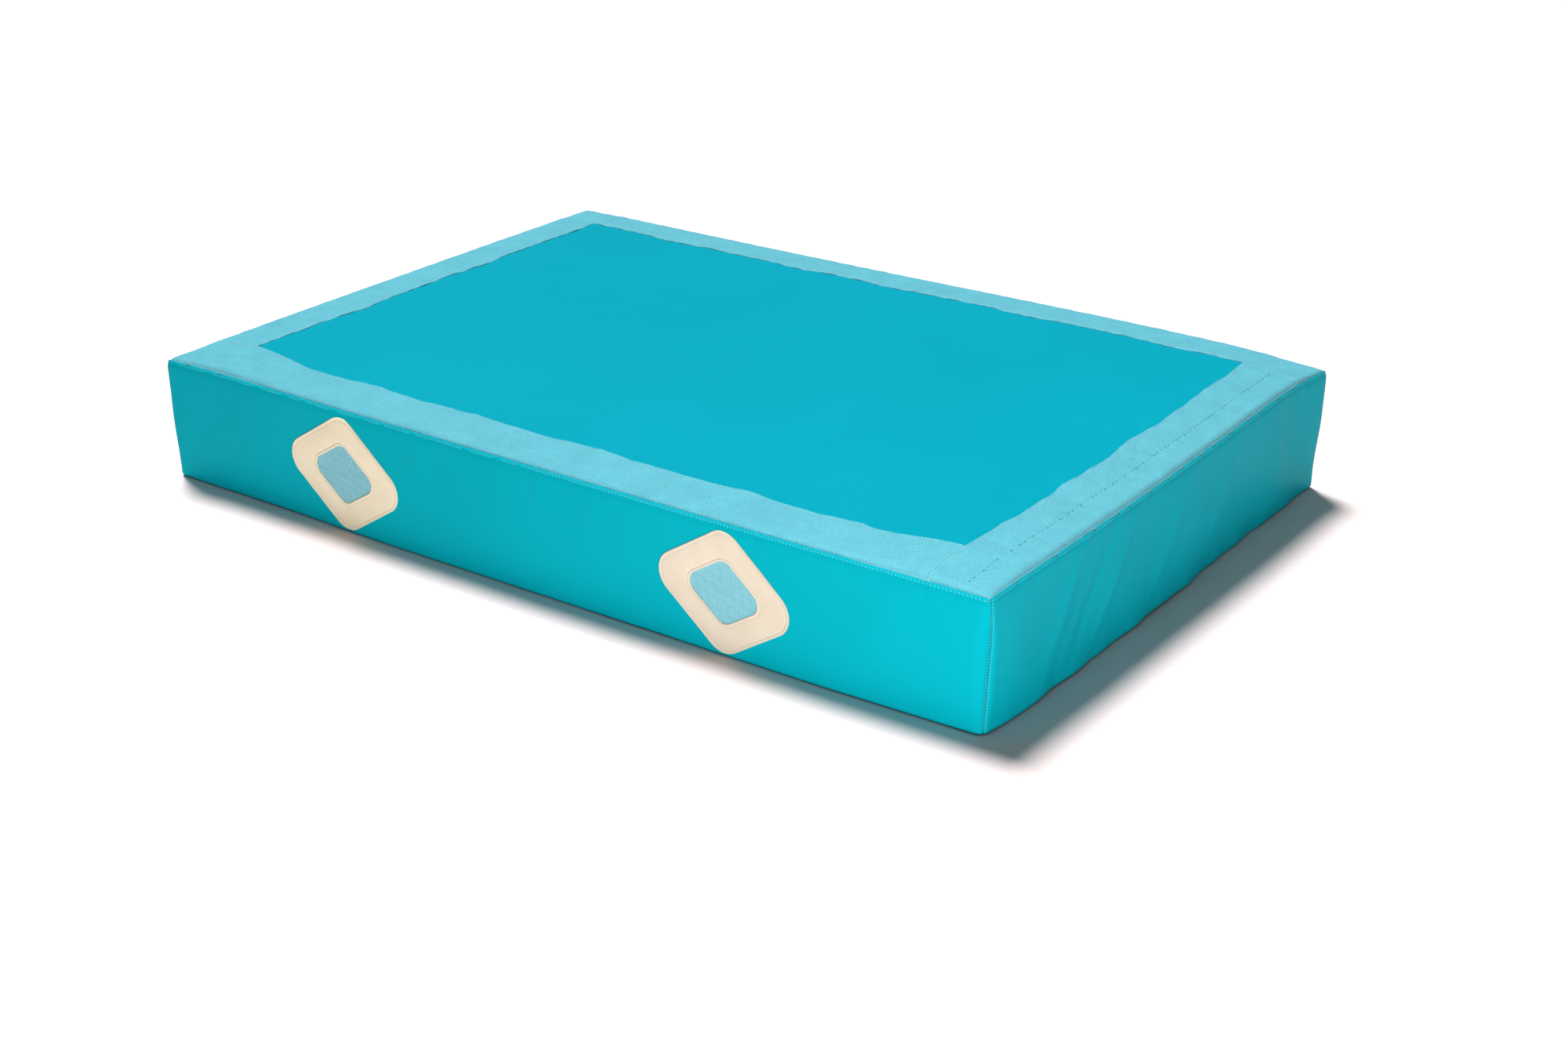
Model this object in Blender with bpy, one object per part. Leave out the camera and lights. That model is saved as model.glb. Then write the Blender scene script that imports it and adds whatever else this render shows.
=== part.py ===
# Pressure relief mattress: a layered foam core in a zipped, coated-fabric cover.
# X runs along the long sides, Y runs across from the front (-Y) to the zip side (+Y), +Z is up,
# and z = 0 is the surface that the mattress lies on. All sizes are in metres.
import math

import bmesh
import bpy
from mathutils import Matrix, Vector

# Overall size
LENGTH = 1.540
WIDTH = 1.070
EDGE_HEIGHT = 0.203  # underside of the loop bands at the outer edge
CROWN = 0.0145  # how far the lying surface stands above the outer edge
HALF_L = LENGTH / 2
HALF_W = WIDTH / 2

# Cover
SKIN = 0.0014  # coated fabric with its seam allowance
BAND_SKIN = 0.0022  # loop pile on its backing
BAND_WIDTH = 0.098
CORNER_RADIUS = 0.018  # vertical corners, seen from above
SEAM_INSET = 0.022  # from the end of the mattress back to the corner seam on each long side
ROLL = 0.018  # width of the rounded top edge
ROLL_SHARE = 0.42  # share of the crown that the rounded edge takes
BASE_LIFT = 0.005  # the base turns up by this much at its edge
BASE_ROLL = 0.010
GAP = 0.0003  # between touching pieces
ARC_STEPS = 6

# Vents on the front
VENT_X = (-0.3845, 0.3465)
VENT_Z = 0.0985
PATCH_HALF = (0.112, 0.0930)
PATCH_RADIUS = 0.036
PATCH_SKIN = 0.0017
WINDOW_HALF = (0.058, 0.0475)
WINDOW_RADIUS = 0.018
VENT_SKEW = 0.10  # both diamonds lean: drop per unit of length towards the right end
MESH_MARGIN = 0.004  # how far the mesh runs under the patch
MESH_SKIN = 0.0009

# Zip along the back
ZIP_Z = 0.048
ZIP_HALF = 0.690  # centre of the mattress to the end of the chain
ZIP_SLOT = 0.016  # height of the opening between the two back panels
TAPE_SKIN = 0.0008
TAPE_HEIGHT = 0.0195
TOOTH_HEIGHT = 0.0034
TOOTH_DEPTH = 0.0029
ROW_GAP = 0.0016  # clear slot between the two rows, which the slider's post runs in
STOP_LENGTH = 0.0065
END_COVER = (0.064, 0.036)  # length and height of the patch over each end of the zip
END_COVER_SKIN = 0.0012

# Slider and pull
SLIDER_LENGTH = 0.020
SLIDER_HEIGHT = 0.013
SLIDER_REST_X = -0.668
SLIDER_PLATE = 0.0018
SLIDER_BACK_PLATE = 0.0015
POST = (0.004, 0.0010)  # length and thickness of the post that joins the two plates
FLANGE = 0.0013
EAR_SPAN = 0.0080  # between the inner faces of the two ears
EAR = (0.0050, 0.0015, 0.0040)  # length, thickness and height above the plate
BAR_RADIUS = 0.00085
BAR_LIFT = 0.0026  # from the plate to the bar's centre
EYE_RADIUS = 0.0022
EYE_HOLE = 0.0012
PULL_WIDTH = 0.0074
PULL_LENGTH = 0.034
PULL_SKIN = 0.0016
GRIP_HOLE = 0.0020

# Core
LINER_INSET = 0.0060  # from the outer face of the cover to the outer face of the liner
LINER_SKIN = 0.0007
LINER_FLOOR = 0.0027
LINER_MOUTH = 0.66  # half the length of the opening on the zip side
FOAM_INSET = 0.0072
FOAM_FLOOR = 0.0038
FOAM_CHAMFER = 0.005
BASE_FOAM = 0.060
BOLSTER_CROWN = (0.05, 0.80)  # share of the crown at a bolster's outer and inner edges
VISCO = 0.050
FOAM_GAP = 0.0004
CELLS = (12, 8)
CELL_GROOVE = 0.006
CELL_DEPTH = 0.055


def clear_scene():
    for item in list(bpy.data.objects):
        bpy.data.objects.remove(item)


def material(name, colour, roughness, metallic=0.0):
    mat = bpy.data.materials.new(name)
    mat.use_nodes = True
    shader = mat.node_tree.nodes["Principled BSDF"]
    shader.inputs["Base Color"].default_value = (*colour, 1.0)
    shader.inputs["Roughness"].default_value = roughness
    shader.inputs["Metallic"].default_value = metallic
    mat.diffuse_color = (*colour, 1.0)
    return mat


def add_object(name, bm, mat, smooth_angle=None):
    bmesh.ops.recalc_face_normals(bm, faces=bm.faces)
    mesh = bpy.data.meshes.new(name)
    bm.to_mesh(mesh)
    bm.free()
    if smooth_angle is not None:
        mesh.shade_smooth()
        mesh.set_sharp_from_angle(angle=math.radians(smooth_angle))
    mesh.materials.append(mat)
    piece = bpy.data.objects.new(name, mesh)
    bpy.context.collection.objects.link(piece)
    return piece


def combine(piece, tool, operation):
    tool.hide_render = True
    tool.display_type = "WIRE"
    step = piece.modifiers.new(tool.name, "BOOLEAN")
    step.operation = operation
    step.object = tool
    step.solver = "EXACT"


def rise(distance):
    """Share of the crown reached at a distance from the outer edge: a rounded edge, then a flat slope."""
    if distance < ROLL:
        return ROLL_SHARE * (1 - (1 - distance / ROLL) ** 2)
    slope = (min(distance, BAND_WIDTH) - ROLL) / (BAND_WIDTH - ROLL)
    return ROLL_SHARE + (1 - ROLL_SHARE) * slope


def top_height(x, y):
    return EDGE_HEIGHT + CROWN * rise(HALF_L - abs(x)) * rise(HALF_W - abs(y))


def base_height(x, y):
    edge = min(HALF_L - abs(x), HALF_W - abs(y))
    return BASE_LIFT * max(0.0, 1 - edge / BASE_ROLL) ** 2


def round_corner(x, y):
    """Bends the square corner of the plan into a quarter circle."""
    a = (abs(x) - (HALF_L - CORNER_RADIUS)) / CORNER_RADIUS
    b = (abs(y) - (HALF_W - CORNER_RADIUS)) / CORNER_RADIUS
    if a <= 0 or b <= 0:
        return x, y
    new_a = a * math.sqrt(1 - b * b / 2)
    new_b = b * math.sqrt(1 - a * a / 2)
    new_x = math.copysign(HALF_L - CORNER_RADIUS * (1 - new_a), x)
    new_y = math.copysign(HALF_W - CORNER_RADIUS * (1 - new_b), y)
    return new_x, new_y


def grid_plate(name, xs, ys, height, thickness, mat):
    """A sheet of even thickness over a grid, with its underside at height(x, y)."""
    bm = bmesh.new()
    rows = []
    for y in ys:
        rows.append([bm.verts.new((*round_corner(x, y), height(x, y))) for x in xs])
    for low, high in zip(rows, rows[1:]):
        for i in range(len(xs) - 1):
            bm.faces.new((low[i], low[i + 1], high[i + 1], high[i]))
    made = bmesh.ops.extrude_face_region(bm, geom=list(bm.faces))
    top = [v for v in made["geom"] if isinstance(v, bmesh.types.BMVert)]
    bmesh.ops.translate(bm, verts=top, vec=(0, 0, thickness))
    return add_object(name, bm, mat, smooth_angle=40)


def strip(name, outer, inner, low, high, mat):
    """A wall that follows a path in plan, between two heights."""
    bm = bmesh.new()
    rings = []
    for (ox, oy), (ix, iy) in zip(outer, inner):
        corners = ((ox, oy, low), (ox, oy, high), (ix, iy, high), (ix, iy, low))
        rings.append([bm.verts.new(corner) for corner in corners])
    for ring, after in zip(rings, rings[1:]):
        for i in range(4):
            j = (i + 1) % 4
            bm.faces.new((ring[i], ring[j], after[j], after[i]))
    bm.faces.new(rings[0])
    bm.faces.new(rings[-1])
    return add_object(name, bm, mat, smooth_angle=40)


def block(name, low, high, mat):
    bm = bmesh.new()
    size = Vector(high) - Vector(low)
    centre = (Vector(high) + Vector(low)) / 2
    bmesh.ops.create_cube(bm, size=1, matrix=Matrix.Translation(centre) @ Matrix.Diagonal((*size, 1)))
    return add_object(name, bm, mat)


def prism(name, outline, low, high, mat):
    """An outline of (x, z) points carried along Y."""
    bm = bmesh.new()
    face = bm.faces.new([bm.verts.new((x, low, z)) for x, z in outline])
    made = bmesh.ops.extrude_face_region(bm, geom=[face])
    moved = [v for v in made["geom"] if isinstance(v, bmesh.types.BMVert)]
    bmesh.ops.translate(bm, verts=moved, vec=(0, high - low, 0))
    return add_object(name, bm, mat, smooth_angle=30)


def rod(name, centre, radius, length, mat, sides=16):
    """A round bar along Z."""
    bm = bmesh.new()
    place = Matrix.Translation(centre)
    bmesh.ops.create_cone(
        bm, cap_ends=True, segments=sides, radius1=radius, radius2=radius, depth=length, matrix=place
    )
    return add_object(name, bm, mat, smooth_angle=40)


def diamond(centre_x, centre_z, half, radius):
    """A rounded diamond that leans: a sharp diamond grown all round by the corner radius, then skewed."""
    core = (half[0] - radius, half[1] - radius)
    turn = math.atan2(core[0], core[1])
    corners = ((core[0], 0, 0), (0, core[1], 90), (-core[0], 0, 180), (0, -core[1], 270))
    points = []
    for x, z, middle in corners:
        spread = turn if x else math.pi / 2 - turn
        for i in range(ARC_STEPS + 1):
            angle = math.radians(middle) + spread * (2 * i / ARC_STEPS - 1)
            across = x + radius * math.cos(angle)
            up = z + radius * math.sin(angle) - VENT_SKEW * across
            points.append((centre_x + across, centre_z + up))
    return points


def ring_plate(name, outer, inner, low, high, mat):
    """A flat frame between two outlines of (x, z) points with the same number of points."""
    bm = bmesh.new()
    loops = []
    for outline, y in ((outer, low), (inner, low), (inner, high), (outer, high)):
        loops.append([bm.verts.new((x, y, z)) for x, z in outline])
    count = len(outer)
    for k in range(4):
        first = loops[k]
        second = loops[(k + 1) % 4]
        for i in range(count):
            j = (i + 1) % count
            bm.faces.new((first[i], first[j], second[j], second[i]))
    return add_object(name, bm, mat, smooth_angle=30)


def end_path(side, inset):
    """Plan of an end panel: round both corners, from one long side to the other."""
    radius = CORNER_RADIUS - inset
    centre_x = HALF_L - CORNER_RADIUS
    centre_y = HALF_W - CORNER_RADIUS
    points = [(HALF_L - SEAM_INSET, -HALF_W + inset)]
    for start, y in ((-90, -centre_y), (0, centre_y)):
        for i in range(ARC_STEPS + 1):
            angle = math.radians(start + 90 * i / ARC_STEPS)
            points.append((centre_x + radius * math.cos(angle), y + radius * math.sin(angle)))
    points.append((HALF_L - SEAM_INSET, HALF_W - inset))
    return [(side * x, y) for x, y in points]


def straight_path(side, inset):
    """Plan of a long panel: straight, between the two corner seams."""
    reach = HALF_L - SEAM_INSET - GAP
    y = side * (HALF_W - inset)
    return [(-reach, y), (reach, y)]


def make_base(mat):
    near = (0, 0.003, 0.006, 0.010, 0.018)
    xs = [-HALF_L + step for step in near]
    ys = [-HALF_W + step for step in near]
    xs += [-x for x in reversed(xs)]
    ys += [-y for y in reversed(ys)]
    grid_plate("cover_base", xs, ys, base_height, SKIN, mat)


def make_sides(mat):
    low = BASE_LIFT + SKIN + GAP
    high = EDGE_HEIGHT - GAP
    strip("side_panel_right", end_path(1, 0), end_path(1, SKIN), low, high, mat)
    strip("side_panel_left", end_path(-1, 0), end_path(-1, SKIN), low, high, mat)
    outer = straight_path(1, 0)
    inner = straight_path(1, SKIN)
    strip("side_panel_back", outer, inner, ZIP_Z + ZIP_SLOT / 2, high, mat)
    strip("zip_panel_lower", outer, inner, low, ZIP_Z - ZIP_SLOT / 2, mat)
    outer = straight_path(-1, 0)
    inner = straight_path(-1, SKIN)
    front = strip("side_panel_front", outer, inner, low, high, mat)
    for x, side in zip(VENT_X, ("left", "right")):
        margin = MESH_MARGIN + GAP
        half = [size + margin for size in WINDOW_HALF]
        outline = diamond(x, VENT_Z, half, WINDOW_RADIUS + margin)
        cutter = prism(f"vent_cutter_{side}", outline, -HALF_W - 0.01, -HALF_W + 0.01, mat)
        combine(front, cutter, "DIFFERENCE")


def make_vents(patch_mat, mesh_mat):
    back = -HALF_W - GAP
    mesh_front = -HALF_W + GAP
    for x, side in zip(VENT_X, ("left", "right")):
        outer = diamond(x, VENT_Z, PATCH_HALF, PATCH_RADIUS)
        inner = diamond(x, VENT_Z, WINDOW_HALF, WINDOW_RADIUS)
        ring_plate(f"vent_patch_{side}", outer, inner, back - PATCH_SKIN, back, patch_mat)
        half = [size + MESH_MARGIN for size in WINDOW_HALF]
        outline = diamond(x, VENT_Z, half, WINDOW_RADIUS + MESH_MARGIN)
        prism(f"vent_mesh_{side}", outline, mesh_front, mesh_front + MESH_SKIN, mesh_mat)


def make_top(band_mat, panel_mat):
    steps = (0, 0.004, 0.009, ROLL, 0.058, BAND_WIDTH)
    inner_l = HALF_L - BAND_WIDTH
    inner_w = HALF_W - BAND_WIDTH
    across_l = [-HALF_L + step for step in steps]
    across_w = [-HALF_W + step for step in steps]
    # each band runs to one corner of the mattress and butts against the next band at the other
    front = (across_l + [inner_l - GAP], across_w)
    left = (across_l, [-inner_w + GAP] + [-y for y in reversed(across_w)])
    plans = {
        "loop_band_front": front,
        "loop_band_back": mirrored(front),
        "loop_band_left": left,
        "loop_band_right": mirrored(left),
    }
    for name, (xs, ys) in plans.items():
        grid_plate(name, xs, ys, top_height, BAND_SKIN, band_mat)
    reach_x = inner_l - GAP
    reach_y = inner_w - GAP
    level = EDGE_HEIGHT + CROWN
    block("top_panel", (-reach_x, -reach_y, level), (reach_x, reach_y, level + SKIN), panel_mat)


def mirrored(plan):
    """The same plan turned half a turn about the centre."""
    xs, ys = plan
    return [-x for x in reversed(xs)], [-y for y in reversed(ys)]


def make_zip(tape_mat, tooth_mat, stop_mat, cover_mat):
    panel_back = HALF_W - SKIN
    tape_front = panel_back - GAP
    tape_back = tape_front - TAPE_SKIN
    tooth_back = tape_back - (TOOTH_DEPTH - TAPE_SKIN) / 2
    tooth_front = tooth_back + TOOTH_DEPTH
    row_end = ZIP_HALF - STOP_LENGTH - GAP
    row_near = ROW_GAP / 2
    row_far = row_near + TOOTH_HEIGHT
    for name, side in (("upper", 1), ("lower", -1)):
        levels = sorted((ZIP_Z + side * row_near, ZIP_Z + side * row_far))
        low = (-row_end, tooth_back, levels[0])
        high = (row_end, tooth_front, levels[1])
        block(f"zip_teeth_{name}", low, high, tooth_mat)
        edge = row_far + GAP
        levels = sorted((ZIP_Z + side * edge, ZIP_Z + side * (edge + TAPE_HEIGHT)))
        low = (-ZIP_HALF, tape_back, levels[0])
        high = (ZIP_HALF, tape_front, levels[1])
        block(f"zip_tape_{name}", low, high, tape_mat)
    for name, side in (("closed", -1), ("open", 1)):
        ends = sorted((side * ZIP_HALF, side * (ZIP_HALF - STOP_LENGTH)))
        low = (ends[0], tooth_back, ZIP_Z - row_far)
        high = (ends[1], tooth_front, ZIP_Z + row_far)
        block(f"zip_stop_{name}", low, high, stop_mat)
    length, height = END_COVER
    cover_back = HALF_W + GAP
    for name, side in (("left", -1), ("right", 1)):
        start = ZIP_HALF - STOP_LENGTH + GAP
        ends = sorted((side * start, side * (start + length)))
        low = (ends[0], cover_back, ZIP_Z - height / 2)
        high = (ends[1], cover_back + END_COVER_SKIN, ZIP_Z + height / 2)
        block(f"zip_end_cover_{name}", low, high, cover_mat)
    return tooth_back - GAP, tooth_front + GAP, tape_front + GAP, tape_back - GAP


def make_slider(faces, mat):
    """Two plates with turned-in edges, a post between them and a bar between two ears for the pull."""
    back_face, front_face, tape_front, tape_back = faces
    x0 = SLIDER_REST_X - SLIDER_LENGTH / 2
    x1 = SLIDER_REST_X + SLIDER_LENGTH / 2
    half = SLIDER_HEIGHT / 2
    plate_top = front_face + SLIDER_PLATE
    low = (x0, front_face, ZIP_Z - half)
    high = (x1, plate_top, ZIP_Z + half)
    slider = block("zip_slider", low, high, mat)
    back_low = back_face - SLIDER_BACK_PLATE
    tools = [("back_plate", (x0, back_low, ZIP_Z - half), (x1, back_face, ZIP_Z + half))]
    post_half = POST[1] / 2
    overlap = SLIDER_BACK_PLATE / 2
    post_low = (x0, back_face - overlap, ZIP_Z - post_half)
    post_high = (x0 + POST[0], front_face + overlap, ZIP_Z + post_half)
    tools.append(("post", post_low, post_high))
    ear_x = SLIDER_REST_X - EAR[0] / 2
    for name, side in (("upper", 1), ("lower", -1)):
        levels = sorted((ZIP_Z + side * half, ZIP_Z + side * (half - FLANGE)))
        low = (x0, tape_front, levels[0])
        tools.append((f"front_flange_{name}", low, (x1, front_face + overlap, levels[1])))
        low = (x0, back_face - overlap, levels[0])
        tools.append((f"back_flange_{name}", low, (x1, tape_back, levels[1])))
        ear = EAR_SPAN / 2
        levels = sorted((ZIP_Z + side * ear, ZIP_Z + side * (ear + EAR[1])))
        low = (ear_x, plate_top - overlap, levels[0])
        tools.append((f"ear_{name}", low, (ear_x + EAR[0], plate_top + EAR[2], levels[1])))
    for name, low, high in tools:
        combine(slider, block(f"slider_{name}", low, high, mat), "UNION")
    bar_centre = (SLIDER_REST_X, plate_top + BAR_LIFT, ZIP_Z)
    bar = rod("slider_bar", bar_centre, BAR_RADIUS, EAR_SPAN + EAR[1], mat)
    combine(slider, bar, "UNION")
    return bar_centre


def make_pull(hinge, mat):
    """An eye round the slider's bar and a flat tab with a rounded end. Its origin is on the bar."""
    half = PULL_WIDTH / 2
    tip_x = PULL_LENGTH - half
    start = EYE_RADIUS * 0.75
    outline = [(start, -half)]
    for i in range(ARC_STEPS * 2 + 1):
        angle = math.radians(-90 + 180 * i / (ARC_STEPS * 2))
        outline.append((tip_x + half * math.cos(angle), half * math.sin(angle)))
    outline.append((start, half))
    pull = prism("zip_pull", outline, -PULL_SKIN / 2, PULL_SKIN / 2, mat)
    eye = rod("pull_eye", (0, 0, 0), EYE_RADIUS, PULL_WIDTH, mat, sides=20)
    combine(pull, eye, "UNION")
    hole = rod("pull_hole", (0, 0, 0), EYE_HOLE, PULL_WIDTH * 2, mat, sides=20)
    combine(pull, hole, "DIFFERENCE")
    grip = rod("grip_hole", (0, 0, 0), GRIP_HOLE, PULL_WIDTH * 2, mat, sides=20)
    grip.rotation_euler = (math.radians(90), 0, 0)
    grip.location = (tip_x, 0, 0)
    combine(pull, grip, "DIFFERENCE")
    for item in (eye, hole, grip):
        item.parent = pull
    pull.location = hinge


def make_liner(mat):
    """A knitted sleeve round all the foam, open along the zip side."""
    lift = 2 * GAP + FOAM_GAP
    edge = (LINER_INSET, 0.010, 0.014, ROLL, 0.058, BAND_WIDTH)
    xs = [-HALF_L + step for step in edge]
    ys = [-HALF_W + step for step in edge]
    xs += [-LINER_MOUTH, LINER_MOUTH] + [-x for x in xs]
    xs = sorted(xs)
    ys += [-y for y in reversed(ys)]
    bm = bmesh.new()
    tops = [[bm.verts.new((*round_corner(x, y), top_height(x, y) - lift)) for x in xs] for y in ys]
    floors = [[bm.verts.new((*round_corner(x, y), LINER_FLOOR)) for x in xs] for y in ys]
    last_x = len(xs) - 1
    last_y = len(ys) - 1
    for j in range(last_y):
        for i in range(last_x):
            for sheet in (tops, floors):
                bm.faces.new((sheet[j][i], sheet[j][i + 1], sheet[j + 1][i + 1], sheet[j + 1][i]))
    for i in range(last_x):
        bm.faces.new((tops[0][i], tops[0][i + 1], floors[0][i + 1], floors[0][i]))
        mouth = abs(xs[i] + xs[i + 1]) / 2 < LINER_MOUTH
        if not mouth:
            bm.faces.new((tops[-1][i], tops[-1][i + 1], floors[-1][i + 1], floors[-1][i]))
    for j in range(last_y):
        for side in (0, -1):
            bm.faces.new((tops[j][side], tops[j + 1][side], floors[j + 1][side], floors[j][side]))
    liner = add_object("fire_liner", bm, mat)
    wall = liner.modifiers.new("knit", "SOLIDIFY")
    wall.thickness = LINER_SKIN
    wall.offset = -1
    wall.use_even_offset = True


def make_bolsters(mat):
    """Four firm strips with mitred ends and tops that slope up towards the middle."""
    low = FOAM_FLOOR + BASE_FOAM + FOAM_GAP
    drop = 2 * GAP + FOAM_GAP + LINER_SKIN + 2 * GAP
    outer_top = EDGE_HEIGHT - drop + CROWN * BOLSTER_CROWN[0]
    inner_top = EDGE_HEIGHT - drop + CROWN * BOLSTER_CROWN[1]
    mitre = FOAM_GAP / 2
    shoulder = FOAM_INSET + FOAM_CHAMFER
    shoulder_top = outer_top + (inner_top - outer_top) * FOAM_CHAMFER / (BAND_WIDTH - FOAM_INSET)
    # inset from the outer face, shortening of the end, and height of each corner of the section
    section = (
        (FOAM_INSET, FOAM_CHAMFER * 2, low),
        (shoulder, 0, low),
        (BAND_WIDTH, 0, low),
        (BAND_WIDTH, 0, inner_top),
        (shoulder, 0, shoulder_top),
        (FOAM_INSET, FOAM_CHAMFER * 2, outer_top),
    )
    plans = (("front", False, -1), ("back", False, 1), ("left", True, -1), ("right", True, 1))
    for name, turned, side in plans:
        along, across = (HALF_W, HALF_L) if turned else (HALF_L, HALF_W)
        bm = bmesh.new()
        ends = []
        for end in (-1, 1):
            ring = []
            for inset, short, z in section:
                a = end * (along - inset - short - mitre)
                c = side * (across - inset)
                ring.append(bm.verts.new((c, a, z) if turned else (a, c, z)))
            ends.append(ring)
        for i in range(6):
            j = (i + 1) % 6
            bm.faces.new((ends[0][i], ends[0][j], ends[1][j], ends[1][i]))
        for ring in ends:
            bm.faces.new((ring[0], ring[1], ring[4], ring[5]))
            bm.faces.new((ring[1], ring[2], ring[3], ring[4]))
        add_object(f"foam_bolster_{name}", bm, mat)


def make_core(base_mat, cell_mat, visco_mat):
    """Firm base slab, cut pressure-relief layer and memory foam layer."""
    reach_x = HALF_L - FOAM_INSET
    reach_y = HALF_W - FOAM_INSET
    base_top = FOAM_FLOOR + BASE_FOAM
    cut = FOAM_CHAMFER
    corner = [(reach_x, reach_y - cut), (reach_x - cut, reach_y)]
    outline = corner + [(-x, y) for x, y in reversed(corner)]
    outline += [(-x, -y) for x, y in outline]
    slab = bmesh.new()
    face = slab.faces.new([slab.verts.new((x, y, FOAM_FLOOR)) for x, y in outline])
    made = bmesh.ops.extrude_face_region(slab, geom=[face])
    lifted = [v for v in made["geom"] if isinstance(v, bmesh.types.BMVert)]
    bmesh.ops.translate(slab, verts=lifted, vec=(0, 0, BASE_FOAM))
    add_object("foam_base", slab, base_mat)
    inner_x = HALF_L - BAND_WIDTH - FOAM_GAP
    inner_y = HALF_W - BAND_WIDTH - FOAM_GAP
    visco_top = EDGE_HEIGHT + CROWN - 2 * GAP - FOAM_GAP - LINER_SKIN - 2 * GAP
    visco_low = visco_top - VISCO
    low = (-inner_x, -inner_y, visco_low)
    high = (inner_x, inner_y, visco_top)
    visco = block("visco_top_layer", low, high, visco_mat)
    soften = visco.modifiers.new("edge", "BEVEL")
    soften.width = 0.004
    soften.segments = 2
    core_low = base_top + FOAM_GAP
    core_top = visco_low - FOAM_GAP
    groove_floor = core_top - CELL_DEPTH
    bm = bmesh.new()
    place = Matrix.Translation((0, 0, core_low)) @ Matrix.Diagonal((inner_x, inner_y, 1, 1))
    bmesh.ops.create_grid(bm, x_segments=CELLS[0], y_segments=CELLS[1], size=1, matrix=place)
    made = bmesh.ops.extrude_face_region(bm, geom=list(bm.faces))
    lifted = [v for v in made["geom"] if isinstance(v, bmesh.types.BMVert)]
    cells = [f for f in made["geom"] if isinstance(f, bmesh.types.BMFace)]
    bmesh.ops.translate(bm, verts=lifted, vec=(0, 0, groove_floor - core_low))
    bmesh.ops.recalc_face_normals(bm, faces=bm.faces)
    bmesh.ops.inset_individual(bm, faces=cells, thickness=CELL_GROOVE / 2)
    raised = bmesh.ops.extrude_discrete_faces(bm, faces=cells)["faces"]
    tops = list({v for face in raised for v in face.verts})
    bmesh.ops.translate(bm, verts=tops, vec=(0, 0, CELL_DEPTH))
    add_object("foam_castellated_core", bm, cell_mat)


def main():
    clear_scene()
    cover = material("cover_fabric", (0.004, 0.42, 0.54), 0.42)
    base = material("base_fabric", (0.006, 0.25, 0.33), 0.55)
    band = material("loop_band", (0.15, 0.60, 0.72), 0.9)
    patch = material("patch_vinyl", (0.83, 0.74, 0.58), 0.45)
    mesh = material("vent_mesh", (0.25, 0.62, 0.70), 0.7)
    tape = material("zip_tape", (0.01, 0.24, 0.30), 0.85)
    teeth = material("zip_teeth", (0.02, 0.28, 0.34), 0.4)
    metal = material("zip_metal", (0.62, 0.62, 0.60), 0.3, metallic=1.0)
    knit = material("liner_knit", (0.86, 0.85, 0.80), 0.9)
    firm = material("firm_foam", (0.62, 0.66, 0.70), 0.95)
    cut = material("cut_foam", (0.80, 0.74, 0.42), 0.95)
    visco = material("visco_foam", (0.86, 0.80, 0.62), 0.9)
    make_base(base)
    make_sides(cover)
    make_vents(patch, mesh)
    make_top(band, cover)
    faces = make_zip(tape, teeth, metal, cover)
    hinge = make_slider(faces, metal)
    make_pull(hinge, metal)
    make_liner(knit)
    make_bolsters(firm)
    make_core(firm, cut, visco)


main()
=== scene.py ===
import math

import bmesh
import bpy
import numpy as np
from mathutils import Matrix, Vector


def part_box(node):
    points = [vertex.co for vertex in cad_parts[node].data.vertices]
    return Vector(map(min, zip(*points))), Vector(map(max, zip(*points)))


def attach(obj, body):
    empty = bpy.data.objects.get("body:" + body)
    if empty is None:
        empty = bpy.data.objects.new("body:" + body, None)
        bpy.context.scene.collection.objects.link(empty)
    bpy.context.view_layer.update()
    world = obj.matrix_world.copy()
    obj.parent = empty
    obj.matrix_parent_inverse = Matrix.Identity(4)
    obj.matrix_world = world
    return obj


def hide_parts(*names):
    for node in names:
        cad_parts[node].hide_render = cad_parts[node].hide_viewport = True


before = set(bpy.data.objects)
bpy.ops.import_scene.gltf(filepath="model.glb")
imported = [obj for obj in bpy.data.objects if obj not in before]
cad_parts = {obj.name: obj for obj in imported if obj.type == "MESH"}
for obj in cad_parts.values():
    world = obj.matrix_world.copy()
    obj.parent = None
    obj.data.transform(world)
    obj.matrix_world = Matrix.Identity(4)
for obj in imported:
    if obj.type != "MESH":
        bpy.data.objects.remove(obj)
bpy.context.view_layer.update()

# Pressure relief mattress. X runs along the long sides, the vents are on the -Y side, the zip is on the
# +Y side.
rootBody = "mattress"

panelHigh = np.array(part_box("top_panel")[1], float)
baseHigh = np.array(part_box("cover_base")[1], float)
bandLow, bandHigh = (np.array(corner, float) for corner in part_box("loop_band_front"))
wallHigh = np.array(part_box("side_panel_front")[1], float)
halfL = float(baseHigh[0])
halfW = float(baseHigh[1])
bandWidth = float(bandHigh[1] - bandLow[1])
edgeTop = float(wallHigh[2]) + 0.0003
crownTop = float(panelHigh[2])

# Overall cover shape, in metres
cover = {
    "cornerRadius": 0.018,  # the plan that distances round the cover are measured on
    "bandCornerRadius": 0.004,
    "topCornerRadius": 0.009,
    "middleCornerRadius": 0.024,
    "footCornerRadius": 0.016,
    "roll": 0.010,  # width of the rounded top edge
    "rollShare": 0.45,  # share of the crown taken by the rounded edge
    "skin": 0.0012,
    "bandLift": 0.0011,  # how far the loop bands stand above the centre panel
    "topTuck": 0.0034,  # how far the walls turn in at their top edge
    "topRoll": 0.014,
    "footTuck": 0.0045,
    "footRoll": 0.006,
    "bulge": 0.0026,
    "longBow": 0.0045,  # how far the long sides bow out
    "endBow": 0.0025,
    "cornerEar": 0.0048,  # how far every corner but the front right one points out
    "backLift": 0.0085,  # how much fuller the foam stands towards the back right corner
    "droop": 0.0065,  # how far that corner itself drops
}


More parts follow.
